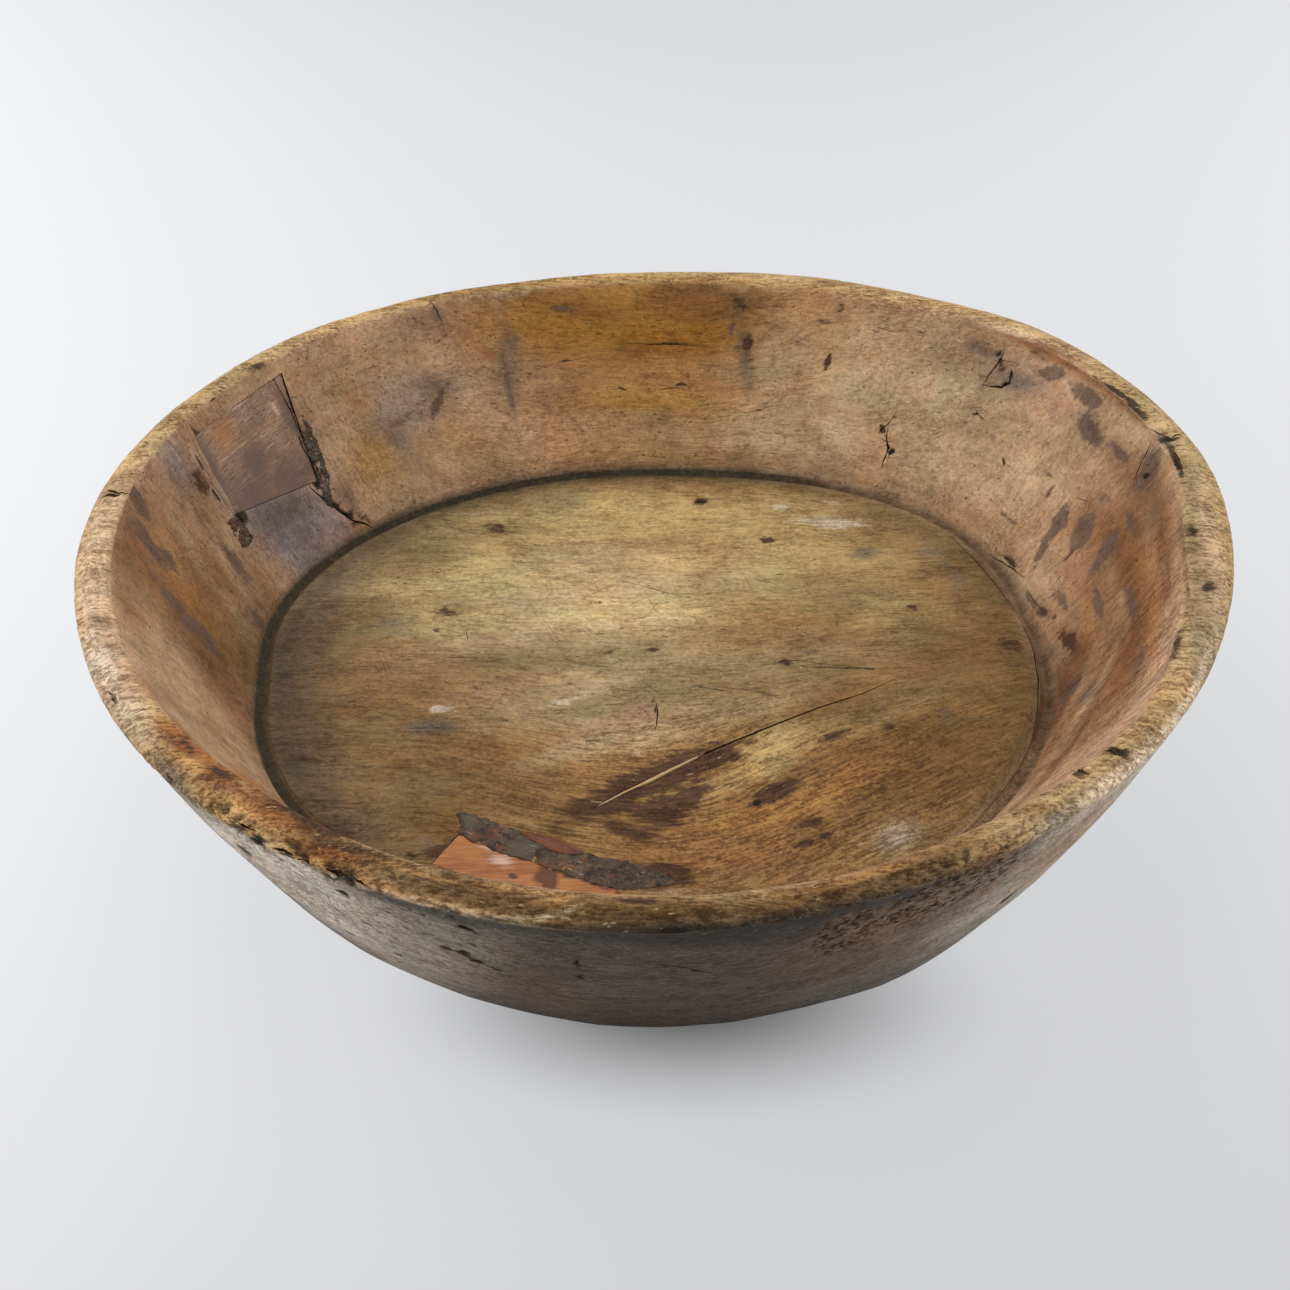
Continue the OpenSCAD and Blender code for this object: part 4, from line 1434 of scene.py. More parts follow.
    (Tone.GOLD, (188, 758, 16, 6, 3, 0.9)),
    (Tone.FLAME, (204, 754, 8, 9, 5, 0.8)),
    (Tone.GOLD, (212, 795, 10, 12, 6, 0.8), (242, 802, 12, 10, 7, 0.9)),
    (Tone.FLAME, (254, 785, 11, 6, 4, 0.9)),
    (Tone.RED, (278, 808, 26, 12, 8, 0.85), (182, 746, 16, 15, 13), (221, 777, 17, 11, 13),
     (262, 805, 24, 12, 6, 0.7)),
    (Tone.GOLD, (195, 765, 22, 14, 4, 0.7)),
    (Tone.FLAME, (300, 826, 30, 14, 4, 0.8)),
    (Tone.GOLD, (283, 833, 22, 12, 6, 0.8)),
    (Tone.BARK, (262, 828, 14, 9, 4, 0.6), (330, 828, 26, 11, 7, 0.95)),
    (Tone.FLAME, (320, 852, 24, 12, 8, 0.85)),
    (Tone.BARK, (300, 845, 16, 7, 3, 0.6)),
    (Tone.GOLD, (350, 862, 24, 6, 3, 0.7)),
    (Tone.BARK, (372, 856, 28, 6, 5, 0.8)),
    (Tone.GOLD, (400, 866, 26, 6, 3, 0.6)),
    (Tone.BARK, (325, 842, 44, 18, 9, 0.85)),
    (Tone.GOLD, (385, 885, 18, 8, 5, 0.8)),
    (Tone.BARK, (335, 838, 50, 22, 5, 0.7), (275, 800, 24, 14, 3, 0.7)),
    (Tone.UMBER, (480, 893, 90, 18, 22)),
    (Tone.BARK, (475, 891, 90, 15, 16, 0.35)),
    (Tone.GOLD, (440, 902, 64, 16, 1.3, 0.9), (535, 919, 40, 3, 1.2, 0.85), (420, 872, 40, 12, 2, 0.7),
     (530, 890, 40, 6, 2, 0.8)),
    (Tone.RUSSET, (650, 902, 110, 0, 8, 0.9)),
    (Tone.OCHRE, (650, 906, 100, 0, 8, 0.85)),
    (Tone.MOSS, (655, 915, 100, 0, 9, 0.9)),
    (Tone.COAL, (650, 928, 110, 0, 6, 0.9)),
    (Tone.OCHRE, (570, 905, 16, -8, 14, 0.8)),
    (Tone.GOLD, (560, 897, 14, -2, 6, 0.5)),
    (Tone.OCHRE, (840, 885, 70, -22, 14)),
    (Tone.COPPER, (800, 890, 40, -6, 5, 0.7), (870, 870, 50, -18, 5, 0.6)),
    (Tone.OCHRE, (960, 845, 60, -32, 13, 0.95)),
    (Tone.GINGER, (900, 862, 40, -16, 4, 0.5)),
    (Tone.OAT, (1010, 822, 50, -36, 8, 0.7)),
    (Tone.LEAD, (1060, 815, 14, -8, 6, 0.8)),
    (Tone.BARK, (790, 912, 30, -4, 6, 0.8)),
    # The outside's left and right ends are lighter: grey, dry wood with painted sheen.
    (Tone.ASH, (250, 850, 70, 60, 26), (340, 920, 60, 28, 34, 0.9)),
    (Tone.LEAD, (440, 960, 50, 20, 34, 0.7)),
    (Tone.ASH, (1055, 862, 70, -70, 22), (1110, 800, 40, -50, 12)),
    (Tone.LEAD, (970, 925, 60, -30, 26, 0.6)),
    (Tone.ASH, (1000, 903, 50, -34, 3, 0.5)),
    (Tone.SAND, (1080, 838, 40, -40, 12, 0.75)),
    (Tone.CLAY, (990, 890, 40, -26, 3, 0.5), (1080, 830, 30, -34, 4, 0.5)),
    (Tone.BROWN, (880, 932, 62, -20, 30, 0.95)),
    (Tone.RUSSET, (860, 905, 50, -12, 12, 0.7)),
    (Tone.BARK, (850, 950, 30, -8, 8, 0.6)),
    (Tone.COAL, (700, 940, 150, 0, 8, 0.8)),
    (Tone.IRON, (820, 1000, 90, -20, 12, 0.6)),
    (Tone.UMBER, (520, 990, 60, 20, 14, 0.3)),
    (Tone.OCHRE, (1210, 600, 4, 44, 16, 0.3)),
    (Tone.BRONZE, (650, 912, 100, 0, 9, 0.45)),
    (Tone.OCHRE, (950, 850, 50, -26, 8, 0.3)),
    # Painted sheen with the grey wood on the outside's right end.
    (Tone.SAND, (1080, 838, 40, -40, 12, 0.25)),
    (Tone.COAL, (700, 945, 90, 0, 6, 0.25)),
    (Tone.UMBER, (1000, 660, 16, 14, 16, 0.4)),
    (Tone.GOLD, (640, 428, 70, 0, 12, 0.45)),
    (Tone.BUFF, (420, 360, 30, -8, 26, 0.35)),
    (Tone.TOAST, (168, 556, 14, 30, 14, 0.3)),
    (Tone.CREAM, (900, 375, 60, 14, 26, 0.15)),
    (Tone.DUSK, (1000, 430, 30, 20, 18, 0.2)),
    (Tone.UMBER, (1100, 605, 12, 50, 24, 0.2)),
    (Tone.STRAW, (640, 560, 60, 0, 14, 0.4)),
    (Tone.CREAM, (386, 890, 16, 4, 2.4), (415, 896, 16, 4, 2.4), (448, 905, 18, 5, 2.4),
     (483, 913, 18, 4, 2.4), (518, 918, 18, 1, 2.4), (550, 915, 14, -4, 2.4), (570, 908, 8, -5, 2.4)),
    (Tone.COAL, (540, 926, 40, 2, 4, 0.85)),
    (Tone.OLIVE, (460, 890, 60, 14, 10, 0.45)),
    # Painted highlight along the right rim's outer edge, over its worn end grain.
    (Tone.PALE, (1130, 762, 60, -56, 8, 0.25)),
    # Painted sheen with the grey wood on the outside's right end.
    (Tone.SAND, (1090, 832, 30, -34, 10, 0.4)),
    (Tone.BARK, (880, 935, 50, -18, 24, 0.2)),
)
# Strokes of each kind of stain
STAINS: dict[Stain, tuple[tuple, ...]] = {
    Stain.PLUM: (
        (640, 785, 80, -38, 17, 0.92), (684, 798, 24, -10, 10), (600, 800, 28, -8, 11, 0.95),
        (700, 765, 46, -22, 10), (668, 808, 26, -10, 16), (660, 820, 34, 0, 6, 0.95),
        (630, 830, 30, 8, 8, 0.8), (738, 757, 14, -4, 3, 0.9), (776, 792, 26, -14, 8, 0.95),
        (806, 843, 13, -3, 4), (824, 833, 8, -4, 5), (808, 823, 11, -5, 3, 0.9), (666, 876, 26, 2, 13),
        (636, 872, 22, 4, 9, 0.9), (440, 850, 18, -8, 9, 0.75), (470, 835, 26, 8, 6, 0.7),
        (830, 737, 20, -8, 6, 0.75), (892, 727, 12, -6, 6, 0.7), (560, 822, 20, -2, 5, 0.6),
        (768, 540, 28, -2, 2, 0.95), (912, 607, 8, 1, 3, 0.8), (782, 662, 9, 2, 4, 0.9),
        (500, 528, 18, 2, 7, 0.66), (450, 611, 18, -3, 8, 0.64), (606, 650, 14, -4, 5, 0.72),
        (652, 650, 9, 1, 3, 0.74), (440, 631, 6, 1, 2.5, 0.8), (1010, 646, 12, 6, 9, 0.7),
        (1066, 556, 10, -10, 2, 0.9), (1041, 353, 9, 3, 4, 0.95), (825, 361, 2, -7, 3),
        (843, 308, 8, -6, 5, 0.85), (1045, 500, 14, -14, 2, 0.8), (1070, 642, 7, 12, 8, 0.85),
        (1047, 615, 11, 6, 6, 0.75), (1178, 640, 4, -18, 5, 0.75), (200, 484, 12, 14, 8, 0.75),
        (195, 433, 8, 8, 4, 0.8), (262, 402, 12, 4, 2, 0.75), (365, 520, 12, 6, 4, 0.8),
        (415, 500, 14, -4, 6, 0.6), (470, 480, 3, 6, 3, 0.7), (330, 350, 4, 8, 3, 0.6),
        (750, 342, 5, 30, 6, 0.72), (735, 300, 12, 12, 8, 0.7), (524, 299, 5, 4, 3, 0.9),
        (760, 410, 14, -3, 2, 0.6), (143, 443, 8, 2, 3, 0.7), (258, 364, 14, -5, 4, 0.75),
        (187, 744, 11, 11, 5, 0.62), (224, 774, 12, 8, 5, 0.62), (325, 828, 32, 12, 4, 0.9),
        (300, 815, 20, 12, 4, 0.7), (640, 900, 30, 2, 3, 0.7)),
    Stain.SOOT: (
        (757, 802, 6, -2, 4, 0.8), (780, 788, 12, -6, 3, 0.7), (700, 500, 8, 3, 2.5, 0.8),
        (868, 553, 10, 1, 4, 0.6), (848, 668, 60, 2, 1.2, 0.8), (655, 708, 3, 9, 1.2, 0.85),
        (646, 696, 12, -2, 1, 0.7), (460, 808, 11, -6, 5, 0.6), (735, 726, 26, 4, 1, 0.7),
        (720, 690, 18, 3, 1, 0.6), (1091, 436, 3, 4, 3, 0.8), (1178, 462, 6, 16, 5, 0.7),
        (1166, 433, 12, -1, 3, 0.7), (1142, 473, 3, -16, 1.2, 0.9), (1118, 392, 34, 22, 3.5, 0.9),
        (1135, 408, 14, 12, 4, 0.9), (1001, 362, 2, 12, 1.5), (993, 372, 8, -10, 1.5),
        (1003, 384, 11, -2, 2, 0.95), (1013, 376, 3, -5, 2), (883, 432, 3, 6, 2.5), (886, 452, 3, 9, 2),
        (893, 418, 2, 5, 1.2, 0.9), (1003, 462, 1.5, 5, 1.2, 0.9), (973, 413, 3, 0, 1.2, 0.9),
        (949, 370, 3, 0, 1.2, 0.9), (980, 418, 3, 3, 1.2, 0.8), (965, 497, 3, 3, 2, 0.7),
        (1010, 563, 14, 12, 1.5, 0.9), (1209, 582, 6, 3, 6, 0.95), (1229, 580, 2, 6, 1.5, 0.95),
        (1114, 753, 13, 4, 4), (1079, 771, 9, 2, 4, 0.95), (1065, 820, 6, -6, 5, 0.8),
        (1193, 528, 8, 14, 9, 0.62), (1208, 508, 8, 10, 8, 0.55), (1188, 590, 3, 22, 3, 0.6),
        (1050, 790, 50, -26, 5, 0.5), (317, 478, 7, 12, 5), (342, 508, 20, 15, 3, 0.95),
        (243, 518, 6, 10, 6, 0.95), (213, 488, 22, 44, 1.6, 0.85), (322, 437, 3, 3, 3, 0.8),
        (300, 560, 12, 10, 2, 0.6), (676, 344, 44, -1, 1, 0.8), (676, 386, 17, -3, 1, 0.85),
        (436, 342, 27, -13, 0.9, 0.7), (421, 404, 22, -13, 0.9, 0.8), (478, 370, 3, 6, 3, 0.7),
        (572, 360, 14, -4, 1, 0.7), (620, 389, 6, 3, 1, 0.7), (115, 491, 17, 2, 1.6),
        (214, 398, 10, -6, 2, 0.7), (106, 671, 4, -2, 1, 0.8), (111, 695, 3, 4, 1.4, 0.8),
        (168, 775, 10, 12, 3, 0.6), (238, 824, 12, 7, 2.5, 0.7), (293, 858, 14, 10, 3.5, 0.85),
        (338, 876, 30, 10, 4.5, 0.9), (400, 852, 30, 8, 3, 0.6), (430, 885, 40, 8, 6, 0.45),
        (700, 928, 100, 0, 5, 0.6), (445, 951, 7, 2, 1.5), (459, 956, 9, 4, 1.6), (480, 966, 9, 4, 1.8),
        (492, 971, 7, 2, 1.3, 0.9), (470, 947, 8, 2, 1.3, 0.9), (465, 931, 11, 4, 1.4),
        (476, 935, 4, 2, 1.4), (418, 915, 2.5, 1.5, 1.5), (452, 918, 4, 1, 1.2, 0.9),
        (397, 957, 6, 3, 1.5, 0.9), (387, 914, 8, 4, 1.2, 0.8), (580, 967, 2, 4, 1.4, 0.9),
        (579, 980, 5, 2, 1.4, 0.9), (584, 952, 6, 1, 1, 0.8), (686, 971, 32, 5, 0.9, 0.85),
        (252, 845, 8, 4, 1.5, 0.9), (344, 897, 4, 3, 2, 0.95), (240, 850, 8, 7, 1.5, 0.9),
        (285, 884, 9, 5, 1.2, 0.7), (310, 905, 9, 5, 1.2, 0.7), (350, 935, 9, 4, 1.2, 0.7),
        (365, 925, 8, 3, 1.2, 0.7), (1012, 898, 4, -2, 2.5, 0.95), (930, 900, 20, -8, 4, 0.6)),
    Stain.HAZE: (
        (433, 728, 22, -2, 6), (433, 728, 22, -3, 7), (866, 553, 15, 1, 6), (955, 578, 10, 18, 6, 0.9),
        (930, 552, 16, 2, 5, 0.7), (810, 652, 14, 0, 3, 0.8), (390, 625, 30, 0, 12, 0.7),
        (430, 848, 10, 8, 9, 0.9), (946, 714, 14, 16, 8, 0.7), (350, 700, 40, 6, 12, 0.5),
        (545, 690, 60, -10, 6, 0.45), (330, 610, 26, -20, 9, 0.7), (700, 690, 40, -6, 6, 0.45),
        (1160, 438, 16, 6, 9), (978, 348, 14, 8, 8), (1018, 384, 26, 4, 9, 0.9), (1052, 654, 8, 8, 8, 0.7),
        (1088, 690, 10, -12, 5, 0.9), (1196, 677, 4, 3, 3), (300, 440, 12, 24, 11),
        (284, 512, 26, -12, 12), (345, 495, 14, 12, 9, 0.9), (436, 384, 22, 4, 14, 0.6),
        (398, 438, 14, 8, 12, 0.7), (748, 352, 4, 38, 8), (508, 392, 8, 50, 4, 0.9),
        (512, 342, 8, 4, 8, 0.9), (437, 314, 5, 11, 4), (800, 345, 10, 2, 6, 0.55),
        (545, 410, 12, 4, 5, 0.5), (96, 620, 10, 8, 9, 0.7), (520, 945, 20, 4, 8, 0.4)),
    Stain.CHALK: (
        (441, 709, 12, -1, 4), (780, 507, 9, 1, 4), (826, 522, 34, 2, 6), (836, 503, 18, 1, 3, 0.8),
        (899, 836, 14, -10, 9, 0.55), (568, 700, 22, -8, 5, 0.7), (635, 751, 9, 1, 4, 0.8)),
    Stain.RUST: (
        (720, 860, 60, -6, 6, 0.7), (820, 790, 60, -28, 8, 0.5), (525, 731, 40, 6, 1, 0.9),
        (625, 741, 9, 3, 4, 0.9), (470, 700, 40, 4, 8, 0.5), (1030, 343, 30, 11, 5),
        (1070, 365, 18, 9, 5, 0.9), (1066, 634, 10, 14, 10, 0.8), (940, 508, 34, 26, 3, 0.6),
        (360, 525, 14, 4, 6, 0.7), (290, 380, 5, 5, 3, 0.8), (488, 352, 10, 10, 10, 0.6),
        (600, 312, 70, 4, 10, 0.6), (690, 300, 40, 4, 8, 0.7), (560, 430, 40, 4, 5, 0.5),
        (187, 744, 12, 12, 6, 0.95), (224, 774, 13, 9, 6), (268, 815, 28, 14, 6),
        (334, 850, 28, 8, 5, 0.9), (175, 722, 10, 8, 5), (205, 752, 8, 8, 4, 0.9),
        (780, 905, 30, -4, 4, 0.6), (550, 905, 30, 6, 4, 0.6)),
    Stain.WINE: (
        (1060, 522, 8, -16, 6), (1040, 553, 7, -18, 4, 0.9), (1082, 533, 11, -7, 12),
        (1108, 547, 6, -14, 6), (1096, 566, 6, -12, 4, 0.9), (1120, 455, 7, 10, 6), (1090, 430, 10, 14, 9),
        (1146, 468, 10, -22, 8), (1088, 396, 14, 8, 8, 0.9), (1050, 372, 14, 2, 7, 0.9),
        (1098, 606, 5, 16, 5), (1060, 600, 6, 12, 5, 0.9), (1030, 600, 6, 10, 4, 0.8),
        (1130, 600, 4, 20, 4, 0.9), (1138, 660, 5, -18, 4, 0.8), (1070, 690, 14, -20, 4, 0.8),
        (1045, 470, 6, 6, 3, 0.8), (1105, 500, 8, 8, 4, 0.8), (1130, 520, 6, 14, 4, 0.9),
        (1010, 520, 10, 8, 3, 0.7), (990, 440, 8, 6, 3, 0.7), (150, 545, 20, 26, 6, 0.8),
        (180, 610, 30, 40, 6, 0.75), (235, 560, 18, 26, 5, 0.8), (140, 500, 10, 20, 6, 0.8),
        (210, 640, 16, 26, 5, 0.8), (260, 620, 12, 20, 5, 0.7), (170, 560, 10, 16, 4, 0.8),
        (440, 400, 10, -20, 5, 0.8), (405, 420, 16, -8, 5, 0.8), (730, 330, 6, 24, 4, 0.8),
        (560, 310, 16, 3, 4, 0.8), (820, 320, 12, 4, 3, 0.7)),
}
# Depths in millimetres, each with the strokes of the dents that are so deep
DENTS: tuple[tuple, ...] = (
    (2.6, (317, 478, 7, 12, 5)),
    (1.8, (342, 508, 20, 15, 3)),
    (2.2, (243, 518, 6, 9, 5), (115, 491, 17, 2, 2)),
    (2, (1166, 433, 13, -1, 4)),
    (1.6, (1176, 458, 6, 16, 5)),
    (1.4, (1142, 473, 3, -16, 2)),
    (1.3, (1001, 362, 2, 12, 2)),
    (1.4, (1003, 384, 11, -2, 2), (1013, 376, 3, -5, 2.5)),
    (1.2, (993, 372, 8, -10, 2)),
    (1.4, (883, 432, 3, 6, 3), (886, 452, 3, 9, 2.5)),
    (1, (111, 695, 3, 4, 2)),
    (1.4, (1114, 753, 12, 4, 3)),
    (1, (1079, 771, 8, 2, 3)),
    (0.8, (757, 802, 6, -2, 4), (700, 500, 8, 3, 3)),
    (1.2, (459, 956, 9, 4, 2), (480, 966, 9, 4, 2), (465, 931, 11, 4, 2)),
    (1.4, (344, 897, 4, 3, 2.5)),
    (1, (580, 967, 2, 4, 2), (579, 980, 5, 2, 2)),
    (1.2, (1010, 563, 14, 12, 2)),
)
# Cracks and gouges: their points, their widths there and their depths, these two in millimetres
CRACKS: dict[str, tuple[tuple, tuple, float]] = {
    "knot crack up": (((1005, 346), (1002, 355), (996, 366), (988, 376), (982, 387)),
        (0.3, 0.96, 1.3, 1.2, 0.36), 2.5),
    "knot crack low": (((981, 384), (990, 386), (1001, 386), (1008, 383), (1012, 377)),
        (0.36, 1.1, 1.8, 1.6, 0.6), 2.5),
    "knot crack right": (((1009, 381), (1012, 374), (1011, 368)), (0.96, 1.1, 0.36), 2),
    "knot crack side": (((999, 358), (1007, 361), (1016, 363)), (0.72, 0.6, 0.24), 1.8),
    "cluster a": (((897, 412), (888, 424), (880, 430), (878, 434)), (0.4, 0.9, 1.4, 0.5), 1.8),
    "cluster b": (((888, 424), (886, 438), (888, 448), (883, 462), (881, 470)),
        (0.5, 1, 1.5, 1.4, 0.4), 1.8),
    "cluster c": (((876, 436), (886, 441), (893, 442)), (0.4, 1, 0.4), 1.5),
    "red crack": (((1151, 441), (1144, 456), (1137, 470), (1131, 488)), (0.5, 1.3, 1.2, 0.4), 2),
    "ledge crack": (((309, 486), (324, 499), (336, 508), (352, 519), (368, 525), (374, 528)),
        (0.9, 1.8, 1.4, 1.6, 1.2, 0.36), 2.6),
    "joint pit": (((300, 436), (304, 446), (310, 455), (318, 470), (325, 486)),
        (0.6, 1.4, 0.72, 1.9, 1.2), 2.4),
    "joint line": (((274, 378), (284, 395), (293, 412), (300, 430)), (0.3, 0.6, 0.7, 0.6), 1.4),
    "pit low": (((238, 512), (243, 520), (246, 532), (243, 540)), (1.4, 2, 1.2, 0.48), 2.2),
    "board left": (((190, 432), (200, 455), (214, 485), (232, 512)), (0.24, 0.54, 0.54, 0.48), 1.4),
    "rim crack left": (((106, 490), (114, 490), (124, 492), (132, 495)), (1.4, 1.6, 1.2, 0.4), 2.2),
    "rim crack low a": (((99, 677), (105, 672), (112, 670)), (0.7, 0.8, 0.3), 1.2),
    "rim crack low b": (((106, 690), (110, 694), (115, 701)), (0.7, 1, 0.4), 1.4),
    "rim crack low c": (((152, 705), (142, 709), (132, 714)), (0.4, 0.9, 0.4), 1.2),
    "notch": (((1150, 428), (1160, 433), (1172, 435), (1184, 434)), (0.4, 1, 1.1, 0.5), 2.4),
    "notch down": (((1166, 436), (1172, 446), (1178, 458), (1183, 474)), (0.5, 0.8, 1, 0.4), 2),
    "rim spot a": (((1102, 751), (1110, 749), (1120, 753), (1126, 758)), (0.48, 1.3, 1.2, 0.36), 1.8),
    "rim spot b": (((1070, 769), (1079, 770), (1088, 774)), (0.48, 1.1, 0.36), 1.4),
    "foot crack": (((986, 553), (998, 560), (1010, 567), (1024, 577)), (0.4, 1.1, 1.2, 0.5), 1.6),
    "floor line": (((780, 661), (800, 661), (830, 665), (870, 668), (913, 668)),
        (1.5, 0.7, 0.5, 0.5, 0.3), 0.9),
    "floor crack": (((718, 687), (730, 688), (748, 690), (767, 693)), (0.4, 0.9, 0.8, 0.3), 1),
    "scratch a": (((541, 617), (548, 625), (553, 633), (559, 641)), (0.3, 0.4, 0.5, 0.3), 0.5),
    "scratch a2": (((549, 633), (555, 637), (559, 641)), (0.3, 0.5, 0.3), 0.5),
    "scratch b": (((659, 602), (654, 607), (648, 616)), (0.5, 0.7, 0.3), 0.6),
    "scratch c": (((466, 631), (467, 636), (468, 643)), (0.6, 0.8, 0.4), 0.7),
    "scratch d": (((719, 645), (713, 655), (708, 662)), (0.3, 0.4, 0.3), 0.5),
    "scratch e": (((645, 683), (653, 689), (662, 695)), (0.3, 0.7, 0.4), 0.6),
    "scratch f": (((516, 713), (538, 713), (560, 714)), (0.3, 0.5, 0.3), 0.5),
    "scratch g": (((487, 726), (520, 729), (545, 733), (566, 738)), (0.3, 0.5, 0.6, 0.3), 0.5),
    "scratch h": (((505, 693), (495, 702), (484, 714)), (0.3, 0.4, 0.3), 0.4),
    "scratch i": (((708, 800), (718, 796), (730, 793)), (0.3, 0.7, 0.3), 0.6),
    "scratch j": (((955, 607), (962, 611), (971, 616)), (0.3, 0.7, 0.3), 0.6),
    "scratch k": (((895, 623), (905, 626), (918, 629)), (0.3, 0.7, 0.3), 0.6),
    "knot edge": (((655, 700), (658, 710), (657, 722), (655, 730)), (0.5, 1.4, 1.4, 0.5), 1.2),
    "knot split": (((636, 705), (645, 711), (653, 720)), (0.3, 0.6, 0.4), 0.8),
    "far crack a": (((625, 343), (650, 344), (676, 345), (722, 347)), (0.3, 0.7, 0.6, 0.3), 1),
    "far crack b": (((659, 390), (672, 388), (693, 385)), (0.3, 0.8, 0.3), 1),
    "far crack c": (((745, 413), (758, 410), (774, 405)), (0.3, 0.6, 0.3), 0.9),
    "far crack d": (((560, 362), (574, 360), (590, 356)), (0.3, 0.6, 0.3), 0.9),
    "far crack e": (((430, 300), (437, 311), (443, 324)), (0.3, 1, 0.4), 1.2),
    "far mark": (((612, 390), (620, 388), (628, 390)), (0.3, 0.7, 0.3), 0.8),
    "wall tick a": (((972, 413), (978, 414), (984, 420)), (0.6, 0.9, 0.4), 1),
    "wall tick b": (((1003, 456), (1004, 463), (1003, 469)), (0.3, 0.9, 0.3), 1),
    "wall tick c": (((946, 370), (950, 371)), (0.9, 0.6), 0.9),
    "wall tick d": (((1076, 497), (1083, 500), (1090, 503)), (0.3, 0.7, 0.3), 0.9),
    "groove a": (((950, 535), (975, 560), (1000, 590), (1016, 612)), (0.4, 0.9, 0.7, 0.4), 1.5),
    "groove b": (((1024, 626), (1034, 652), (1038, 680), (1038, 705), (1033, 740)),
        (0.4, 0.8, 0.9, 0.8, 0.4), 1.5),
    "foot c": (((1026, 590), (1036, 603), (1044, 612)), (0.3, 0.8, 0.3), 1.2),
    "front crack": (((655, 967), (672, 969), (690, 972), (712, 976)), (0.3, 0.9, 0.9, 0.3), 1.2),
    "worm a": (((439, 949), (446, 951), (452, 954)), (0.45, 1.1, 0.6), 1.6),
    "worm b": (((450, 953), (459, 957), (467, 961)), (0.52, 1.4, 0.6), 1.6),
    "worm c": (((472, 962), (480, 966), (488, 970)), (0.52, 1.4, 0.68), 1.6),
    "worm d": (((484, 970), (490, 971), (497, 973)), (0.38, 0.98, 0.45), 1.4),
    "worm e": (((463, 946), (470, 948), (477, 951)), (0.3, 0.9, 0.45), 1.4),
    "worm f": (((455, 928), (465, 932), (476, 936)), (0.38, 1, 0.45), 1.5),
    "worm g": (((474, 930), (481, 933)), (0.9, 0.52), 1.2),
    "worm h": (((414, 914), (420, 917)), (1.4, 1.1), 1.6),
    "worm i": (((390, 955), (397, 957), (404, 960)), (0.38, 1, 0.45), 1.5),
    "worm j": (((340, 894), (344, 897), (350, 901)), (1.2, 1.7, 1), 1.8),
    "worm k": (((324, 896), (330, 906), (338, 915)), (0.38, 1, 0.45), 1.4),
    "worm l": (((577, 965), (580, 970)), (0.68, 1), 1.2),
    "worm m": (((574, 979), (579, 981), (586, 982)), (0.3, 0.9, 0.38), 1.2),
    "worm n": (((579, 953), (586, 952)), (0.6, 0.38), 1),
    "worm o": (((247, 842), (254, 846), (261, 849)), (0.45, 1.1, 0.45), 1.5),
    "worm p": (((380, 906), (388, 910), (395, 915)), (0.3, 0.9, 0.38), 1.2),
    "worm q": (((283, 880), (290, 886), (296, 890)), (0.3, 0.83, 0.38), 1.2),
    "chew b": (((272, 848), (282, 852), (292, 856)), (1, 2.1, 0.9), 2.4),
    "chew c": (((296, 858), (304, 861), (309, 866)), (0.9, 2.1, 1), 2.4),
    "chew d": (((326, 868), (338, 873), (350, 879)), (1, 2.5, 1.2), 2.8),
    "chew e": (((350, 878), (360, 882), (366, 887)), (1, 2.2, 1), 2.6),
    "chew f": (((232, 818), (244, 826), (256, 831)), (0.6, 1.5, 0.75), 2),
    "rough a": (((884, 911), (905, 902), (925, 897), (942, 890)), (0.45, 1.7, 1.5, 0.6), 2),
    "rough b": (((850, 926), (862, 920), (874, 917)), (0.45, 1.4, 0.6), 1.6),
    "rough c": (((884, 930), (898, 926), (912, 920)), (0.45, 1, 0.45), 1.4),
}


# The bowl


# Rows of places on the skin: u, v, half sizes and turn
ROUGH = ((288, 122, 20, 26, 0), (299, 134, 40, 20, 8))
BUSY: tuple[tuple[Zone, float, tuple], ...] = (
    (Zone.RIM, 0.6, ((253, 8, 60, 14),)), (Zone.RIM, 1.1, ((228, 8, 80, 14),)),
    (Zone.RIM, 0.4, ((285, 8, 110, 14),)), (Zone.OUTSIDE, 1.0, ((296, 132, 50, 26),)),
    (Zone.FLOOR, 0.8, ((45, -95, 100, 60),)), (Zone.OUTSIDE, 0.4, ((240, 110, 110, 50),)),
)
# Arcs of the bowl: first and last bearing, and the degrees over which they fade
NEAR_SIDE = (190, 312)
SEEN_SIDE = (198, 338, 14)
CHEWED_RIM = (217, 246, 9)
FRAYED_RIM = (284, 312, 7)
ROUGH_LEFT = (284.0, 285.4)
UNDERCUT_RIM = (240, 258, 5)
RIM_BANDS = ((Tone.COAL, (263, 297, 6), 0.95), (Tone.RUSSET, (297, 308, 5), 0.5),
             (Tone.UMBER, (196, 226, 8), 0.3))


class Coat:
    """Tones laid over each other at the points of the skin."""

    def __init__(self, count: int, tone: Tone) -> None:
        """Lays one tone on all points."""
        self.tones = np.tile(tone.value, (count, 1))

    def lay(self, tone: Tone, share: np.ndarray) -> None:
        """Lays a tone over what is there."""
        self.tones += (np.array(tone.value) - self.tones) * np.clip(share, 0, 1)[:, None]

    def dim(self, share: np.ndarray, parts: Colour) -> None:
        """Takes these parts of the red, green and blue away."""
        self.tones *= 1 - share[:, None] * np.array([parts])


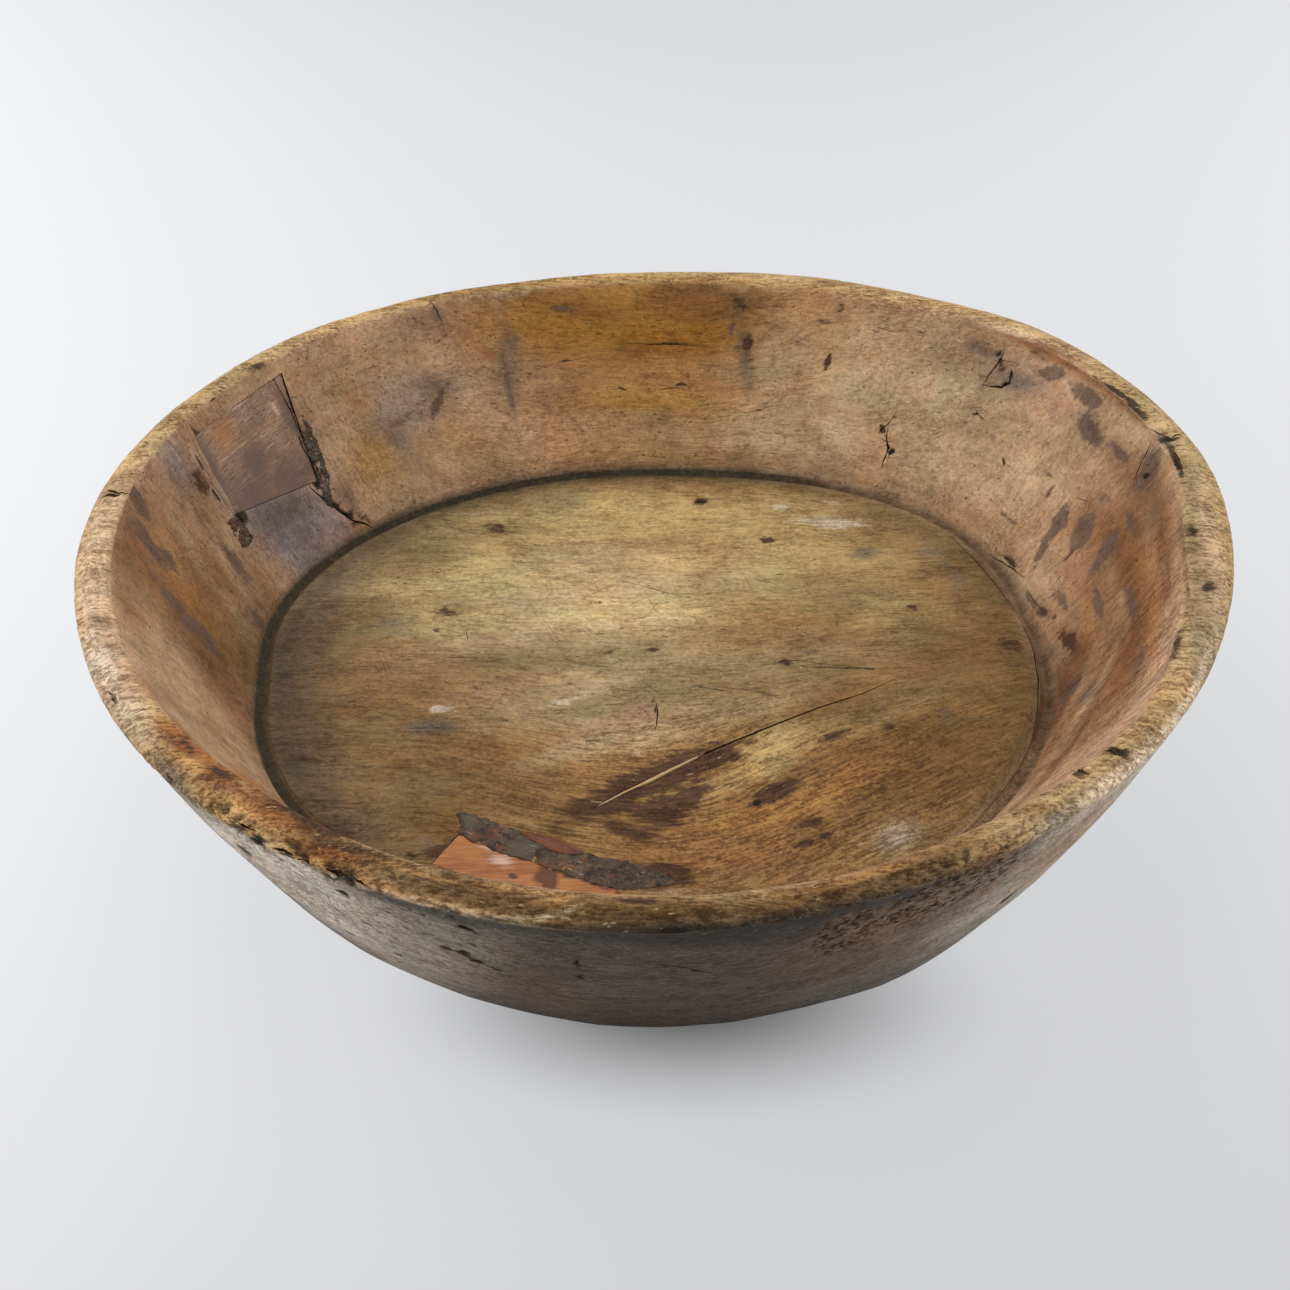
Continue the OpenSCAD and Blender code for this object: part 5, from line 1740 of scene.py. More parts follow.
@dataclass
class Bowl:
    """The hewn bowl, with its relief, its cracks and its painted stains."""

    form: BowlForm
    segments: int = 440
    crowding: float = 0.35
    slope_reach: float = 250.0
    smooth_angle: float = 45.0
    chew_d: float = 2.4
    pit_d: float = 0.9
    fray_d: float = 0.9
    tones: list[tuple[Tone, list[Blot]]] = field(init=False)
    stains: dict[Stain, list[Blot]] = field(init=False)
    dents: list[tuple[float, list[Blot]]] = field(init=False)
    lines: list[tuple[list[np.ndarray], tuple, float]] = field(init=False)

    def skin(self) -> bpy.types.Object:
        """Makes the bowl's even skin."""
        rings = len(self.form.section(np.zeros(1)))
        bpy.ops.mesh.primitive_grid_add(x_subdivisions=self.segments, y_subdivisions=rings + 1, size=1)
        obj = bpy.context.object
        obj.name = obj.data.name = "bowl_body"
        sheet = coordinates(obj) + 0.5
        station = np.mod(np.round(sheet[:, 0] * self.segments).astype(int), self.segments)
        ring = np.round(sheet[:, 1] * (rings + 1)).astype(int)
        even = np.arange(self.segments) * 360.0 / self.segments
        bearing = even - math.degrees(self.crowding) * np.cos(np.radians(even))
        table = np.array(self.form.section(bearing))
        points = table[np.clip(ring - 1, 0, rings - 1), station]
        points[ring == 0] = (0, 0, 0)
        points[ring == rings + 1] = (0, 0, self.form.floor_z - self.form.floor_dish)
        move_points(obj, points * MM)
        with editing(obj):
            bpy.ops.mesh.remove_doubles(threshold=1e-6)
            bpy.ops.mesh.normals_make_consistent(inside=False)
        return obj

    def look(self, skin: bpy.types.Object) -> None:
        """Finds on the even skin the places that were read off the photograph.

        Args:
            skin: The bowl's even skin.
        """
        sight = Sight(self.form, skin)
        self.tones = [(tone, sight.blots(rows)) for tone, *rows in TONES]
        self.stains = {kind: sight.blots(rows) for kind, rows in STAINS.items()}
        self.dents = [(depth, sight.blots(rows)) for depth, *rows in DENTS]
        self.lines = [([sight.point(*spot) for spot in line], widths, depth)
                      for line, widths, depth in CRACKS.values()]

    def refine(self, obj: bpy.types.Object) -> None:
        """Halves the faces of the near rim, where the relief is finest, and the pitted patch's again.

        Args:
            obj: The skin.
        """
        chart = Chart(self.form, vectors(obj.data.polygons, "center") / MM)
        front = (chart.bearing > NEAR_SIDE[0]) & (chart.bearing < NEAR_SIDE[1])
        near = front & ((chart.zone == Zone.RIM.value) | ((chart.outside > 0.5) & (
            (chart.below_top < 26) | (chart.field(blots(Zone.OUTSIDE, ROUGH)) > 0.35))))
        with editing(obj, near):
            bpy.ops.mesh.subdivide(number_cuts=1)
        chart = Chart(self.form, vectors(obj.data.polygons, "center") / MM)
        with editing(obj, (chart.outside > 0.5) & (chart.field(blots(Zone.OUTSIDE, ROUGH)) > 0.3)):
            bpy.ops.mesh.subdivide(number_cuts=1)

    @staticmethod
    def hewn(chart: Chart, broken: np.ndarray) -> np.ndarray:
        """Height of the skin as it was hewn and rubbed, zone by zone.

        Args:
            chart: The skin's points.
            broken: Noise that breaks it up.

        Returns:
            The height at each point.
        """
        points = chart.points
        slow = fractal(points, 70, 2, 3.1)
        wall = np.clip(1 - chart.outside - chart.rim - chart.floor - chart.groove, 0, 1)
        return (chart.outside * (scoops(points * [1, 1, 0.8], 62, 5.0) * 1.5 - 0.3
                                 + np.minimum(broken, 0) * 0.25)
                + wall * (scoops(points * [1, 1, 0.7], 48, 9.0) * 0.7 + slow * 0.5)
                + chart.rim * (slow * 0.7 - 0.7 + broken * 0.3)
                + chart.floor * (slow * 0.25 + broken * 0.1) + chart.groove * broken * 0.6)

    def relief(self, obj: bpy.types.Object) -> None:
        """Hews and wears the skin, and marks what lies deep.

        Args:
            obj: The refined skin.
        """
        points = coordinates(obj) / MM
        chart = Chart(self.form, points)
        broken = fractal(points, 14, 3, 7.7)
        height = self.hewn(chart, broken)
        edge = chart.rim * soft_step(chart.across, 0.45, 1.0) + chart.outside * soft_step(
            -chart.below_top, -22, -7)
        chewed = edge * self.arc(chart, *CHEWED_RIM) * np.clip(
            broken * 2.2 + fractal(points, 5, 3, 1.3) * 1.2 - 0.1, 0, 1.6)
        height -= chewed * self.chew_d
        rough = self.rough(chart)
        pits = fractal(points * [0.6, 0.6, 1], 2.4, 3, 21.0)
        height -= rough * (0.4 + broken * 0.25 + np.clip(pits * 2 + 0.2, 0, 1.4) * self.pit_d)
        frayed = chart.rim * soft_step(chart.across, 0.2, 0.8) * self.arc(chart, *FRAYED_RIM)
        height -= frayed * np.clip(pits * 2, 0, 1.2) * self.fray_d
        cavity = np.clip(chewed * 0.85 + rough * np.clip(pits * 1.2 + 0.2, 0, 0.5)
                         + frayed * np.clip(pits * 1.2, 0, 0.5), 0, 1)
        for depth, spots in self.dents:
            for blot in spots:
                shape = np.clip(1 - (chart.far(blot) * (1 + broken * 0.5)) ** 2, 0, 1)
                height -= shape * depth
                cavity = np.maximum(cavity, shape)
        height *= chart.zone != Zone.BASE.value
        lowered = points + vectors(obj.data.vertex_normals, "vector") * height[:, None]
        lowered[:, 2] = np.maximum(lowered[:, 2], 0.0)
        move_points(obj, lowered * MM)
        store(obj, "cavity", cavity)

    @staticmethod
    def rough(chart: Chart) -> np.ndarray:
        """1 on the pitted patch, which ends sharply at its left."""
        patch = soft_step(chart.field(blots(Zone.OUTSIDE, ROUGH)), 0.3, 0.6)
        return chart.outside * patch * soft_step(chart.bearing, *ROUGH_LEFT)

    @staticmethod
    def arc(chart: Chart, start: float, end: float, fade: float) -> np.ndarray:
        """1 between two bearings, fading out past them."""
        return soft_step(chart.bearing, start - fade, start + fade) * soft_step(
            -chart.bearing, -end - fade, -end + fade)

    def cracks(self, obj: bpy.types.Object) -> list[bpy.types.Object]:
        """Makes cutters for the cracks, gouges and worm holes of the skin.

        Args:
            obj: The worn skin.

        Returns:
            The cutters, in metres.
        """
        cutters = []
        for number, (line, widths, depth) in enumerate(self.lines):
            spots = np.array([obj.closest_point_on_mesh(Vector(p) * MM)[1] for p in line]) / MM
            _, _, up, _ = obj.closest_point_on_mesh(Vector(spots.mean(0)) * MM)
            ends = np.linspace(0, 1, 3 * len(spots) - 2)
            knots = np.linspace(0, 1, len(spots))
            finer = np.stack([np.interp(ends, knots, spots[:, k]) for k in range(3)], -1)
            jitter = fractal(finer, 2.5, 2, number * 3.1)
            wide = np.interp(ends, knots, widths) * (1 + 0.45 * jitter)
            way = np.cross(np.array(up), spots[-1] - spots[0])
            finer[1:-1] += (way / np.linalg.norm(way) * jitter[:, None] * 0.5)[1:-1]
            cutters.append(wedge(f"crack{number}", finer, wide, depth, up))
        return cutters

    @staticmethod
    def cut(obj: bpy.types.Object, cutters: list[bpy.types.Object]) -> None:
        """Cuts beds and cracks into the bowl.

        Args:
            obj: The skin.
            cutters: What is cut away.
        """
        cutter = joined(cutters, "cutter")
        apply_modifier(obj, "BOOLEAN", operation="DIFFERENCE", solver="MANIFOLD", object=cutter,
                       material_mode="TRANSFER")
        bpy.data.objects.remove(cutter)

    def paint(self, obj: bpy.types.Object) -> None:
        """Keeps the tone at each point, for the finish to read.

        Args:
            obj: The cut bowl.
        """
        chart = Chart(self.form, coordinates(obj) / MM)
        ragged = fractal(chart.points, 11, 3, 17.0)
        cloudy = np.clip(fractal(chart.points * [0.7, 1, 1], 34, 3, 40.0), -1, 1)
        coat = Coat(len(chart.points), Tone.ROSE)
        coat.lay(Tone.TAN, chart.floor)
        coat.lay(Tone.SMOKE, chart.outside)
        coat.lay(Tone.OAT, chart.rim)
        hidden = chart.outside * (1 - self.arc(chart, *SEEN_SIDE))
        coat.lay(Tone.BROWN, hidden * (0.45 + 0.35 * cloudy))
        coat.lay(Tone.UMBER, hidden * soft_step(ragged, 0.1, 0.9) * 0.5)
        for tone, spots in self.tones:
            for blot in spots:
                coat.lay(tone, blot.strength * soft_step(-chart.far(blot), -2.0, 0.0))
        coat.lay(Tone.BROWN, self.rough(chart) * 0.6)
        self.darken_rim(chart, coat, ragged)
        coat.dim(-cloudy, (0.2, 0.22, 0.25))
        self.darken_foot(obj, chart, coat, ragged)
        colours = np.column_stack([coat.tones, np.ones(len(chart.points))])
        store(obj, "tone", colours, "FLOAT_COLOR", "color")
        self.mark(obj, chart)

    def darken_rim(self, chart: Chart, coat: Coat, ragged: np.ndarray) -> None:
        """Darkens the ragged band under the near rim.

        Args:
            chart: The skin's points.
            coat: Their tones.
            ragged: Noise that makes the band ragged.
        """
        outer = np.where(chart.outside + chart.rim > 0.01, 1.0, 0.0)
        brink = -chart.below_top + 3.5 * ragged
        band = outer * soft_step(brink, -26, -8)
        coat.lay(Tone.COAL, band * soft_step(-brink, 2.0, 6.5) * self.arc(chart, *UNDERCUT_RIM) * 0.8)
        band *= np.where(chart.below_top > 5, 1.0, soft_step(chart.across + 0.12 * ragged, 0.35, 1.0))
        for tone, arc, strength in RIM_BANDS:
            coat.lay(tone, band * self.arc(chart, *arc) * strength)

    @staticmethod
    def darken_foot(obj: bpy.types.Object, chart: Chart, coat: Coat, ragged: np.ndarray) -> None:
        """Darkens the groove with its dirt and painted shade, and paints shade on the floor and wall
        beside it, less so at the right.

        Args:
            obj: The bowl.
            chart: Its points.
            coat: Their tones.
            ragged: Noise that makes the edges ragged.
        """
        x = chart.points[:, 0]
        west, east = soft_step(-x, 70, 190), soft_step(x, 50, 120)
        # Painted shade on the floor by the west wall, along the floor's edge and at the wall's foot.
        coat.lay(Tone.SMOKE, soft_step(chart.past_edge + 6 * ragged, -52, 2) * chart.floor * west * 0.75)
        coat.dim(soft_step(chart.past_edge, -26, -1) * chart.floor, (0.27, 0.25, 0.22))
        wall = chart.zone == Zone.WALL.value
        coat.dim(wall * soft_step(-chart.v, -12, 0), (0.2, 0.24, 0.28))
        # The groove's dark tone is its dirt and painted shade.
        bed = chart.groove * np.clip(0.95 + 0.6 * ragged, 0, 1) * (1 - 0.4 * east)
        inner = np.clip(1 - chart.outside - chart.rim, 0, 1) * soft_step(-chart.past_foot, -0.5, 3.5)
        ring = inner * soft_step(chart.past_edge + 2 * ragged, -8, 0)
        coat.lay(Tone.GROOVE, bed + ring * (1 - 0.75 * east) * (0.9 - 0.25 * west))
        coat.lay(Tone.CHESTNUT, chart.groove * east * 0.25)
        store(obj, "groove", bed)

    def mark(self, obj: bpy.types.Object, chart: Chart) -> None:
        """Keeps stains and the run of the grain at each point.

        Args:
            obj: The bowl.
            chart: Its points.
        """
        for kind, spots in self.stains.items():
            store(obj, kind.value, chart.field(spots))
        x, y, _ = chart.points.T
        store(obj, "swirl", soft_step(-y + x * 0.15, -30, 70) * soft_step(x, -120, 40) * chart.floor)
        turn = np.radians(chart.bearing)
        wall = np.isin(chart.zone, (Zone.WALL.value, Zone.GROOVE.value)).astype(float)
        store(obj, "ends", wall * soft_step(np.abs(np.cos(turn + 0.12)), 0.55, 0.9) * 0.8)
        busy = (1 + 0.9 * chart.rim + 0.6 * chart.outside + 0.3 * chart.floor * soft_step(-y, 0, 120)
                + wall * (soft_step(x - y, 190, 330) - 0.25))
        for zone, more, rows in BUSY:
            for blot in blots(zone, rows):
                busy += more * soft_step(-chart.far(blot), -1.6, -0.6)
        store(obj, "busy", busy)
        round_x, round_y = np.cos(turn) * self.slope_reach, np.sin(turn) * self.slope_reach
        store(obj, "slope", np.stack([round_x, round_y, chart.v], -1) * MM, "FLOAT_VECTOR", "vector")

    def shape(self) -> bpy.types.Object:
        """Makes the bowl's hewn and worn skin."""
        obj = self.skin()
        self.look(obj)
        self.refine(obj)
        self.relief(obj)
        return obj

    def build(self, obj: bpy.types.Object, cutters: list[bpy.types.Object]) -> bpy.types.Object:
        """Cuts the beds of the mends into the skin and paints it.

        Args:
            obj: The worn skin.
            cutters: Beds of the mends, in metres.

        Returns:
            The bowl.
        """
        obj.data.materials.append(HewnWood().build())
        lines = self.cracks(obj)
        # The crack cutters carry the near-black finish, painted shade inside the cracks.
        for line in lines:
            line.data.materials.append(cutters[0].data.materials[0])
        self.cut(obj, cutters + lines)
        self.paint(obj)
        shown(obj)
        bpy.ops.object.shade_smooth_by_angle(angle=math.radians(self.smooth_angle))
        return seat(obj, "bowl")


# The mends


def scaled_outline(shares: Outline, size: tuple[float, float]) -> list[tuple[float, float]]:
    """An outline from its shares of two sizes."""
    return [(x * size[0], y * size[1]) for x, y in shares]


def rounded(outline: Outline, turns: int = 2, rough: float = 0.0) -> list[tuple[float, float]]:
    """An outline with its corners cut off, so many turns over, and then roughened.

    Args:
        outline: The outline.
        turns: How often the corners are cut.
        rough: Height of the roughness.

    Returns:
        The new outline.
    """
    spots = np.asarray(outline, float)
    for _ in range(turns):
        ahead = np.roll(spots, -1, 0)
        spots = np.stack([spots * 0.75 + ahead * 0.25, spots * 0.25 + ahead * 0.75], 1).reshape(-1, 2)
    shift = fractal(np.column_stack([spots, spots[:, 0] * 0]), 3.5, 3, 6.0) * rough
    return [(x, y + dy) for (x, y), dy in zip(spots, shift)]


@dataclass
class Mends:
    """What the repairs of the hollow share: how they are placed, and how a board is made."""

    form: BowlForm
    seam: float = 0.2
    room: float = 0.3
    over: float = 6.0
    bed_d: float = 4.3

    def on_floor(self, bearing: float, reach: float, turn: float) -> Matrix:
        """A place on the floor, X along the given turn and Z up.

        Args:
            bearing: Bearing in degrees.
            reach: Distance from the middle.
            turn: Degrees from the bearing.

        Returns:
            The place, in millimetres.
        """
        edge = self.form.corners(np.array([bearing]))["edge"][0]
        share = reach / math.hypot(edge[0], edge[1])
        z = self.form.floor_z - self.form.floor_dish * (1 - share ** 2)
        return (Matrix.Rotation(math.radians(bearing), 4, "Z") @ Matrix.Translation((reach, 0, z))
                @ Matrix.Rotation(math.radians(turn), 4, "Z"))

    def on_wall(self, bearing: float, up: float, lean: float) -> Matrix:
        """A place on the inner wall: X up the slope, Y along it and Z out of the wood.

        Args:
            bearing: Bearing in degrees.
            up: Distance up the slope from its foot.
            lean: Degrees that it leans out of the slope.

        Returns:
            The place, in millimetres.
        """
        c = self.form.corners(np.array([bearing]))
        low, top = c["foot"][0], c["crest"][0]
        run = math.hypot(*top[:2]) - math.hypot(*low[:2])
        rise = top[2] - low[2]
        slope = math.atan2(rise, run)
        sag = self.form.wall_hollow * swell(up / math.hypot(run, rise)) * math.sin(slope)
        return (Matrix.Rotation(math.radians(bearing), 4, "Z")
                @ Matrix.Translation((math.hypot(*low[:2]), 0, low[2]))
                @ Matrix.Rotation(-slope, 4, "Y") @ Matrix.Translation((up, 0, -sag))
                @ Matrix.Rotation(-math.radians(lean), 4, "Y"))

    @staticmethod
    def board(name: str, outline: Outline, face: float, thick: float,
              marks: dict[str, tuple]) -> bpy.types.Object:
        """Makes a worn board that carries marks.

        Args:
            name: Its name.
            outline: Its outline.
            face: Height of its face.
            thick: Its thickness.
            marks: Attributes and their marks: middle, half sizes and turn in degrees.

        Returns:
            The board, in millimetres.
        """
        obj = worn(slab(name, outline, face, face - thick), voxel=0.45,
                   lumps=((30, 0.25), (3.5, 0.12)), seed=2.0)
        points = coordinates(obj)
        for key, spots in marks.items():
            total = np.zeros(len(points))
            for x, y, long, short, turn in spots:
                cos, sin = math.cos(math.radians(turn)), math.sin(math.radians(turn))
                dx, dy = points[:, 0] - x, points[:, 1] - y
                far = np.hypot((dx * cos + dy * sin) / long, (dy * cos - dx * sin) / short)
                total = np.maximum(total, np.clip(1 - far / 2, 0, 1))
            store(obj, key, total)
        return obj


@dataclass
class FloorMend(Mends):
    """The board let into the floor, the slip behind it and the pitch between them."""

    length: float = 90.0
    width: float = 28.0
    board_t: float = 6.0
    pitch_l: float = 122.0
    pitch_w: float = 11.0
    slip_l: float = 40.0
    slip_w: float = 8.0
    bearing: float = 247.5
    inset: float = 28.0
    turn: float = -4.5

    def place(self) -> Matrix:
        """Where the board's middle lies."""
        edge = self.form.corners(np.array([self.bearing]))["edge"][0]
        return self.on_floor(self.bearing, math.hypot(edge[0], edge[1]) - self.inset, 90 + self.turn)

    def board_outline(self, grow: float = 0.0) -> list[tuple[float, float]]:
        """Outline of the board."""
        x, y = self.length / 2 + grow, self.width / 2 + grow
        return [(-x, -y), (x, -y), (x, y), (-x, y)]

    def slip_outline(self, grow: float = 1.0) -> list[tuple[float, float]]:
        """Outline of the slip.

        Args:
            grow: Its size against the slip's own.

        Returns:
            The outline.
        """
        shares = ((-0.5, 0.2), (-0.32, 0.52), (0.04, 0.7), (0.34, 0.5), (0.48, 0.2), (0.34, -0.25),
                  (0.14, -0.48), (-0.04, -0.4), (-0.34, -0.05))
        middle = self.width / 2 + self.pitch_w
        return rounded([(x * grow, y * grow + middle)
                        for x, y in scaled_outline(shares, (self.slip_l, self.slip_w))], 1)

    def pitch_outline(self) -> list[tuple[float, float]]:
        """Outline of the run of pitch."""
        shares = ((-0.36, -0.4), (0.0, -0.5), (0.37, -0.4), (0.45, 0.2), (0.52, 0.75), (0.57, 1.2),
                  (0.53, 1.5), (0.42, 1.7), (0.31, 1.6), (0.17, 1.2), (0.0, 1.35), (-0.18, 1.1),
                  (-0.3, 1.3), (-0.42, 1.3), (-0.45, 1.0), (-0.41, 0.7), (-0.38, 0.2))
        return rounded([(x, y + self.width / 2)
                        for x, y in scaled_outline(shares, (self.pitch_l, self.pitch_w))], 3, 1.8)

    def cutters(self) -> list[bpy.types.Object]:
        """Beds of the board, the slip and the pitch."""
        place = self.place()
        bed = -self.board_t - self.room
        return [slab("board_bed", self.board_outline(self.seam), self.over, bed, place),
                slab("slip_bed", self.slip_outline(1.04), self.over, -self.bed_d, place),
                slab("pitch_bed", self.pitch_outline(), self.over, -self.bed_d, place)]

    def build(self, skin: bpy.types.Object) -> list[bpy.types.Object]:
        """Makes the pieces, let into the skin.

        Args:
            skin: The bowl's skin, before it is cut.

        Returns:
            The pieces.
        """
        place = self.place()
        board = self.board("floor_patch", self.board_outline(), 0.0, self.board_t, {
            "dirt": ((8.5, 5.0, 5.5, 6.5, 10), (14, -2, 3, 9, 20), (-5.3, -4, 2.4, 1.7, 0),
                     (28, 12, 20, 4, 0), (42, -6, 4, 10, 0), (-30, 14, 12, 1.6, 0)),
            # The floor board's rubbed marks are its painted highlight.
            "rubbed_and_highlight": ((-17, 4.5, 9, 5, -8), (-22, 9, 12, 2, 0)),
            "amber": ((-34, 4, 8, 8, 0), (20, 0, 6, 8, 0))})
        drape(board, skin, place, lambda x, y: 0.2)
        board.data.materials.append(PatchWood(
            "floor_board_wood", light=(0.5, 0.205, 0.072), dark=(0.27, 0.088, 0.026),
            middle=tuple(place.translation * MM), turn=-4.0, gloss=0.42, scored=0.35).build())
        slip = self.board("floor_wedge", self.slip_outline(), 0.55, 4.55, {
            "dirt": ((-12, 18, 6, 3, 0), (16, 24, 5, 3, 0)), "rubbed_and_highlight": (), "amber": ()})
        slip.data.materials.append(PatchWood(
            "floor_slip_wood", light=(0.2, 0.062, 0.018), dark=(0.09, 0.028, 0.009),
            middle=tuple(place.translation * MM), turn=27.0, gloss=0.4).build())
        pitch = worn(slab("floor_crust", self.pitch_outline(), 0.45, -3.0), voxel=0.5,
                     lumps=((6, 0.7), (1.8, 0.4)), seed=4.0)
        drape(pitch, skin, place, lambda x, y: 0.0)
        pitch.data.materials.append(Crust().build())
        return [seat(placed(board, place), "floor_board"),
                seat(placed(slip, place), "floor_slip"),
                seat(placed(pitch, place), "floor_pitch")]


@dataclass
class WallMend(Mends):
    """The board let into the wall and the pitch beside it."""

    height: float = 58.0
    width: float = 76.0
    board_t: float = 7.0
    sink: float = 1.0
    pitch_w: float = 8.0
    bearing: float = 148.5
    up: float = 65.0
    lean: float = 2.5

    def place(self) -> Matrix:
        """Where the board's middle lies."""
        return self.on_wall(self.bearing, self.up, self.lean)

    def board_outline(self) -> list[tuple[float, float]]:
        """Outline of the board."""
        return scaled_outline(((0.5, 0.45), (0.5, -0.55), (-0.56, -0.33), (-0.33, 0.5)),
                              (self.height, self.width))

    def pitch_outlines(self) -> list[list[tuple[float, float]]]:
        """Outlines of the two runs of pitch."""
        line = scaled_outline(((0.12, -0.47), (-0.2, -0.405), (-0.56, -0.33), (-0.85, -0.24)),
                              (self.height, self.width))
        reach = [self.pitch_w * s for s in (0.6, 0.95, 0.9, 0.5)]
        run = [(x, y - 0.5) for x, y in line] + [
            (x, y - r) for (x, y), r in list(zip(line, reach))[::-1]]
        pad = scaled_outline(((-0.37, 0.5), (-0.3, 0.66), (-0.62, 0.64), (-0.6, 0.5)),
                             (self.height, self.width))
        return [run, pad]

    def cutters(self) -> list[bpy.types.Object]:
        """Bed of the board."""
        grown = [(x * 1.005, y * 1.005) for x, y in self.board_outline()]
        bed = -self.sink - self.board_t - self.room
        return [slab("wall_bed", grown, 2 * self.over, bed, self.place())]

    def build(self, skin: bpy.types.Object) -> list[bpy.types.Object]:
        """Makes the pieces, let into the skin.

        Args:
            skin: The bowl's skin, before it is cut.

        Returns:
            The pieces.
        """
        place = self.place()
        board = self.board("wall_patch", self.board_outline(), 0.0, self.board_t, {
            "dirt": ((0.9, -31, 9, 3, 10), (-18, 20, 16, 20, 0), (-22, -10, 10, 22, 0),
                     (10, -34, 12, 4, 0), (8, 36, 18, 5, 0), (-4, 6, 10, 12, 30)),
            "rubbed_and_highlight": ((30, -4, 3, 8, 0), (14, -26, 6, 2, 0)),
            "amber": ((20, 14, 8, 9, 0),)})
        drape(board, skin, place, lambda x, y: 0.15 + 1.1 * soft_step(-y - 0.7 * x, 8, 42))
        board.data.materials.append(PatchWood(
            "wall_board_wood", light=(0.41, 0.25, 0.16), dark=(0.24, 0.145, 0.098),
            middle=tuple(place.translation * MM), turn=60.0, gloss=0.45, scored=0.75,
            dirt=(0.15, 0.1, 0.085), scratch=62.0, feather=0.45).build())
        pads = [slab(f"crust{i}", outline, 1.6, -2.0)
                for i, outline in enumerate(self.pitch_outlines())]
        pitch = worn(joined(pads, "wall_crust"), voxel=0.45, lumps=((5, 1.4), (1.6, 0.8)), seed=9.0)
        drape(pitch, skin, place, lambda x, y: 1.0)
        pitch.data.materials.append(Crust().build())
        return [seat(placed(board, place), "wall_board"),
                seat(placed(pitch, place), "wall_pitch")]


@dataclass
class Sliver(Mends):
    """The sliver pressed into the floor's crack."""

    length: float = 74.0
    width: float = 3.0
    crack_l: float = 122.0
    crack_w: float = 1.4
    crack_d: float = 4.0
    bearing: float = 266.0
    reach: float = 84.0
    turn: float = 132.0

    def place(self) -> Matrix:
        """Where the sliver's middle lies."""
        return self.on_floor(self.bearing, self.reach, self.turn)

    def outline(self, grow: float = 0.0) -> list[tuple[float, float]]:
        """Outline of the sliver."""
        shares = ((-0.5, 0), (-0.2, 0.5), (0.1, 0.42), (0.5, 0.14), (0.5, -0.14), (0, -0.5))
        return [(x, y + math.copysign(grow, y) * (y != 0))
                for x, y in scaled_outline(shares, (self.length, self.width))]

    def cutters(self) -> list[bpy.types.Object]:
        """Beds of the sliver and the open crack."""
        shares = ((0, 0), (0.16, -0.011), (0.39, -0.034), (0.6, -0.06), (0.8, -0.1), (1, -0.11))
        line = [(self.length / 2 + x * self.crack_l, y * self.crack_l) for x, y in shares]
        widths = [self.crack_w * s for s in (1, 0.9, 0.8, 0.7, 0.5, 0.2)]
        place = self.place()
        return [slab("sliver_bed", self.outline(self.room), self.over, -self.bed_d, place),
                slab("crack", ribbon(line, widths), self.over, -self.crack_d, place)]

    def build(self, skin: bpy.types.Object) -> list[bpy.types.Object]:
        """Makes the piece, let into the skin.

        Args:
            skin: The bowl's skin, which is not used; the sliver lies flat and doesn't follow it.

        Returns:
            The pieces.
        """
        place = self.place()
        thin = [(x, y * 0.75 - 0.25) for x, y in self.outline()]
        sliver = self.board("crack_sliver", thin, 0.7, 4.1, {
            "dirt": ((36, 0, 4, 2, 0), (-16, -1.2, 12, 0.6, 0)),
            "rubbed_and_highlight": ((-28, 0, 8, 2, 0),),
            "amber": ((0, 0, 30, 3, 0),)})
        sliver.data.materials.append(PatchWood(
            "splint_wood", light=(0.76, 0.66, 0.42), dark=(0.46, 0.34, 0.17),
            middle=tuple(place.translation * MM), turn=-38.0, gloss=0.5, scored=0.1).build())
        return [seat(placed(sliver, place), "splint")]


# The studio


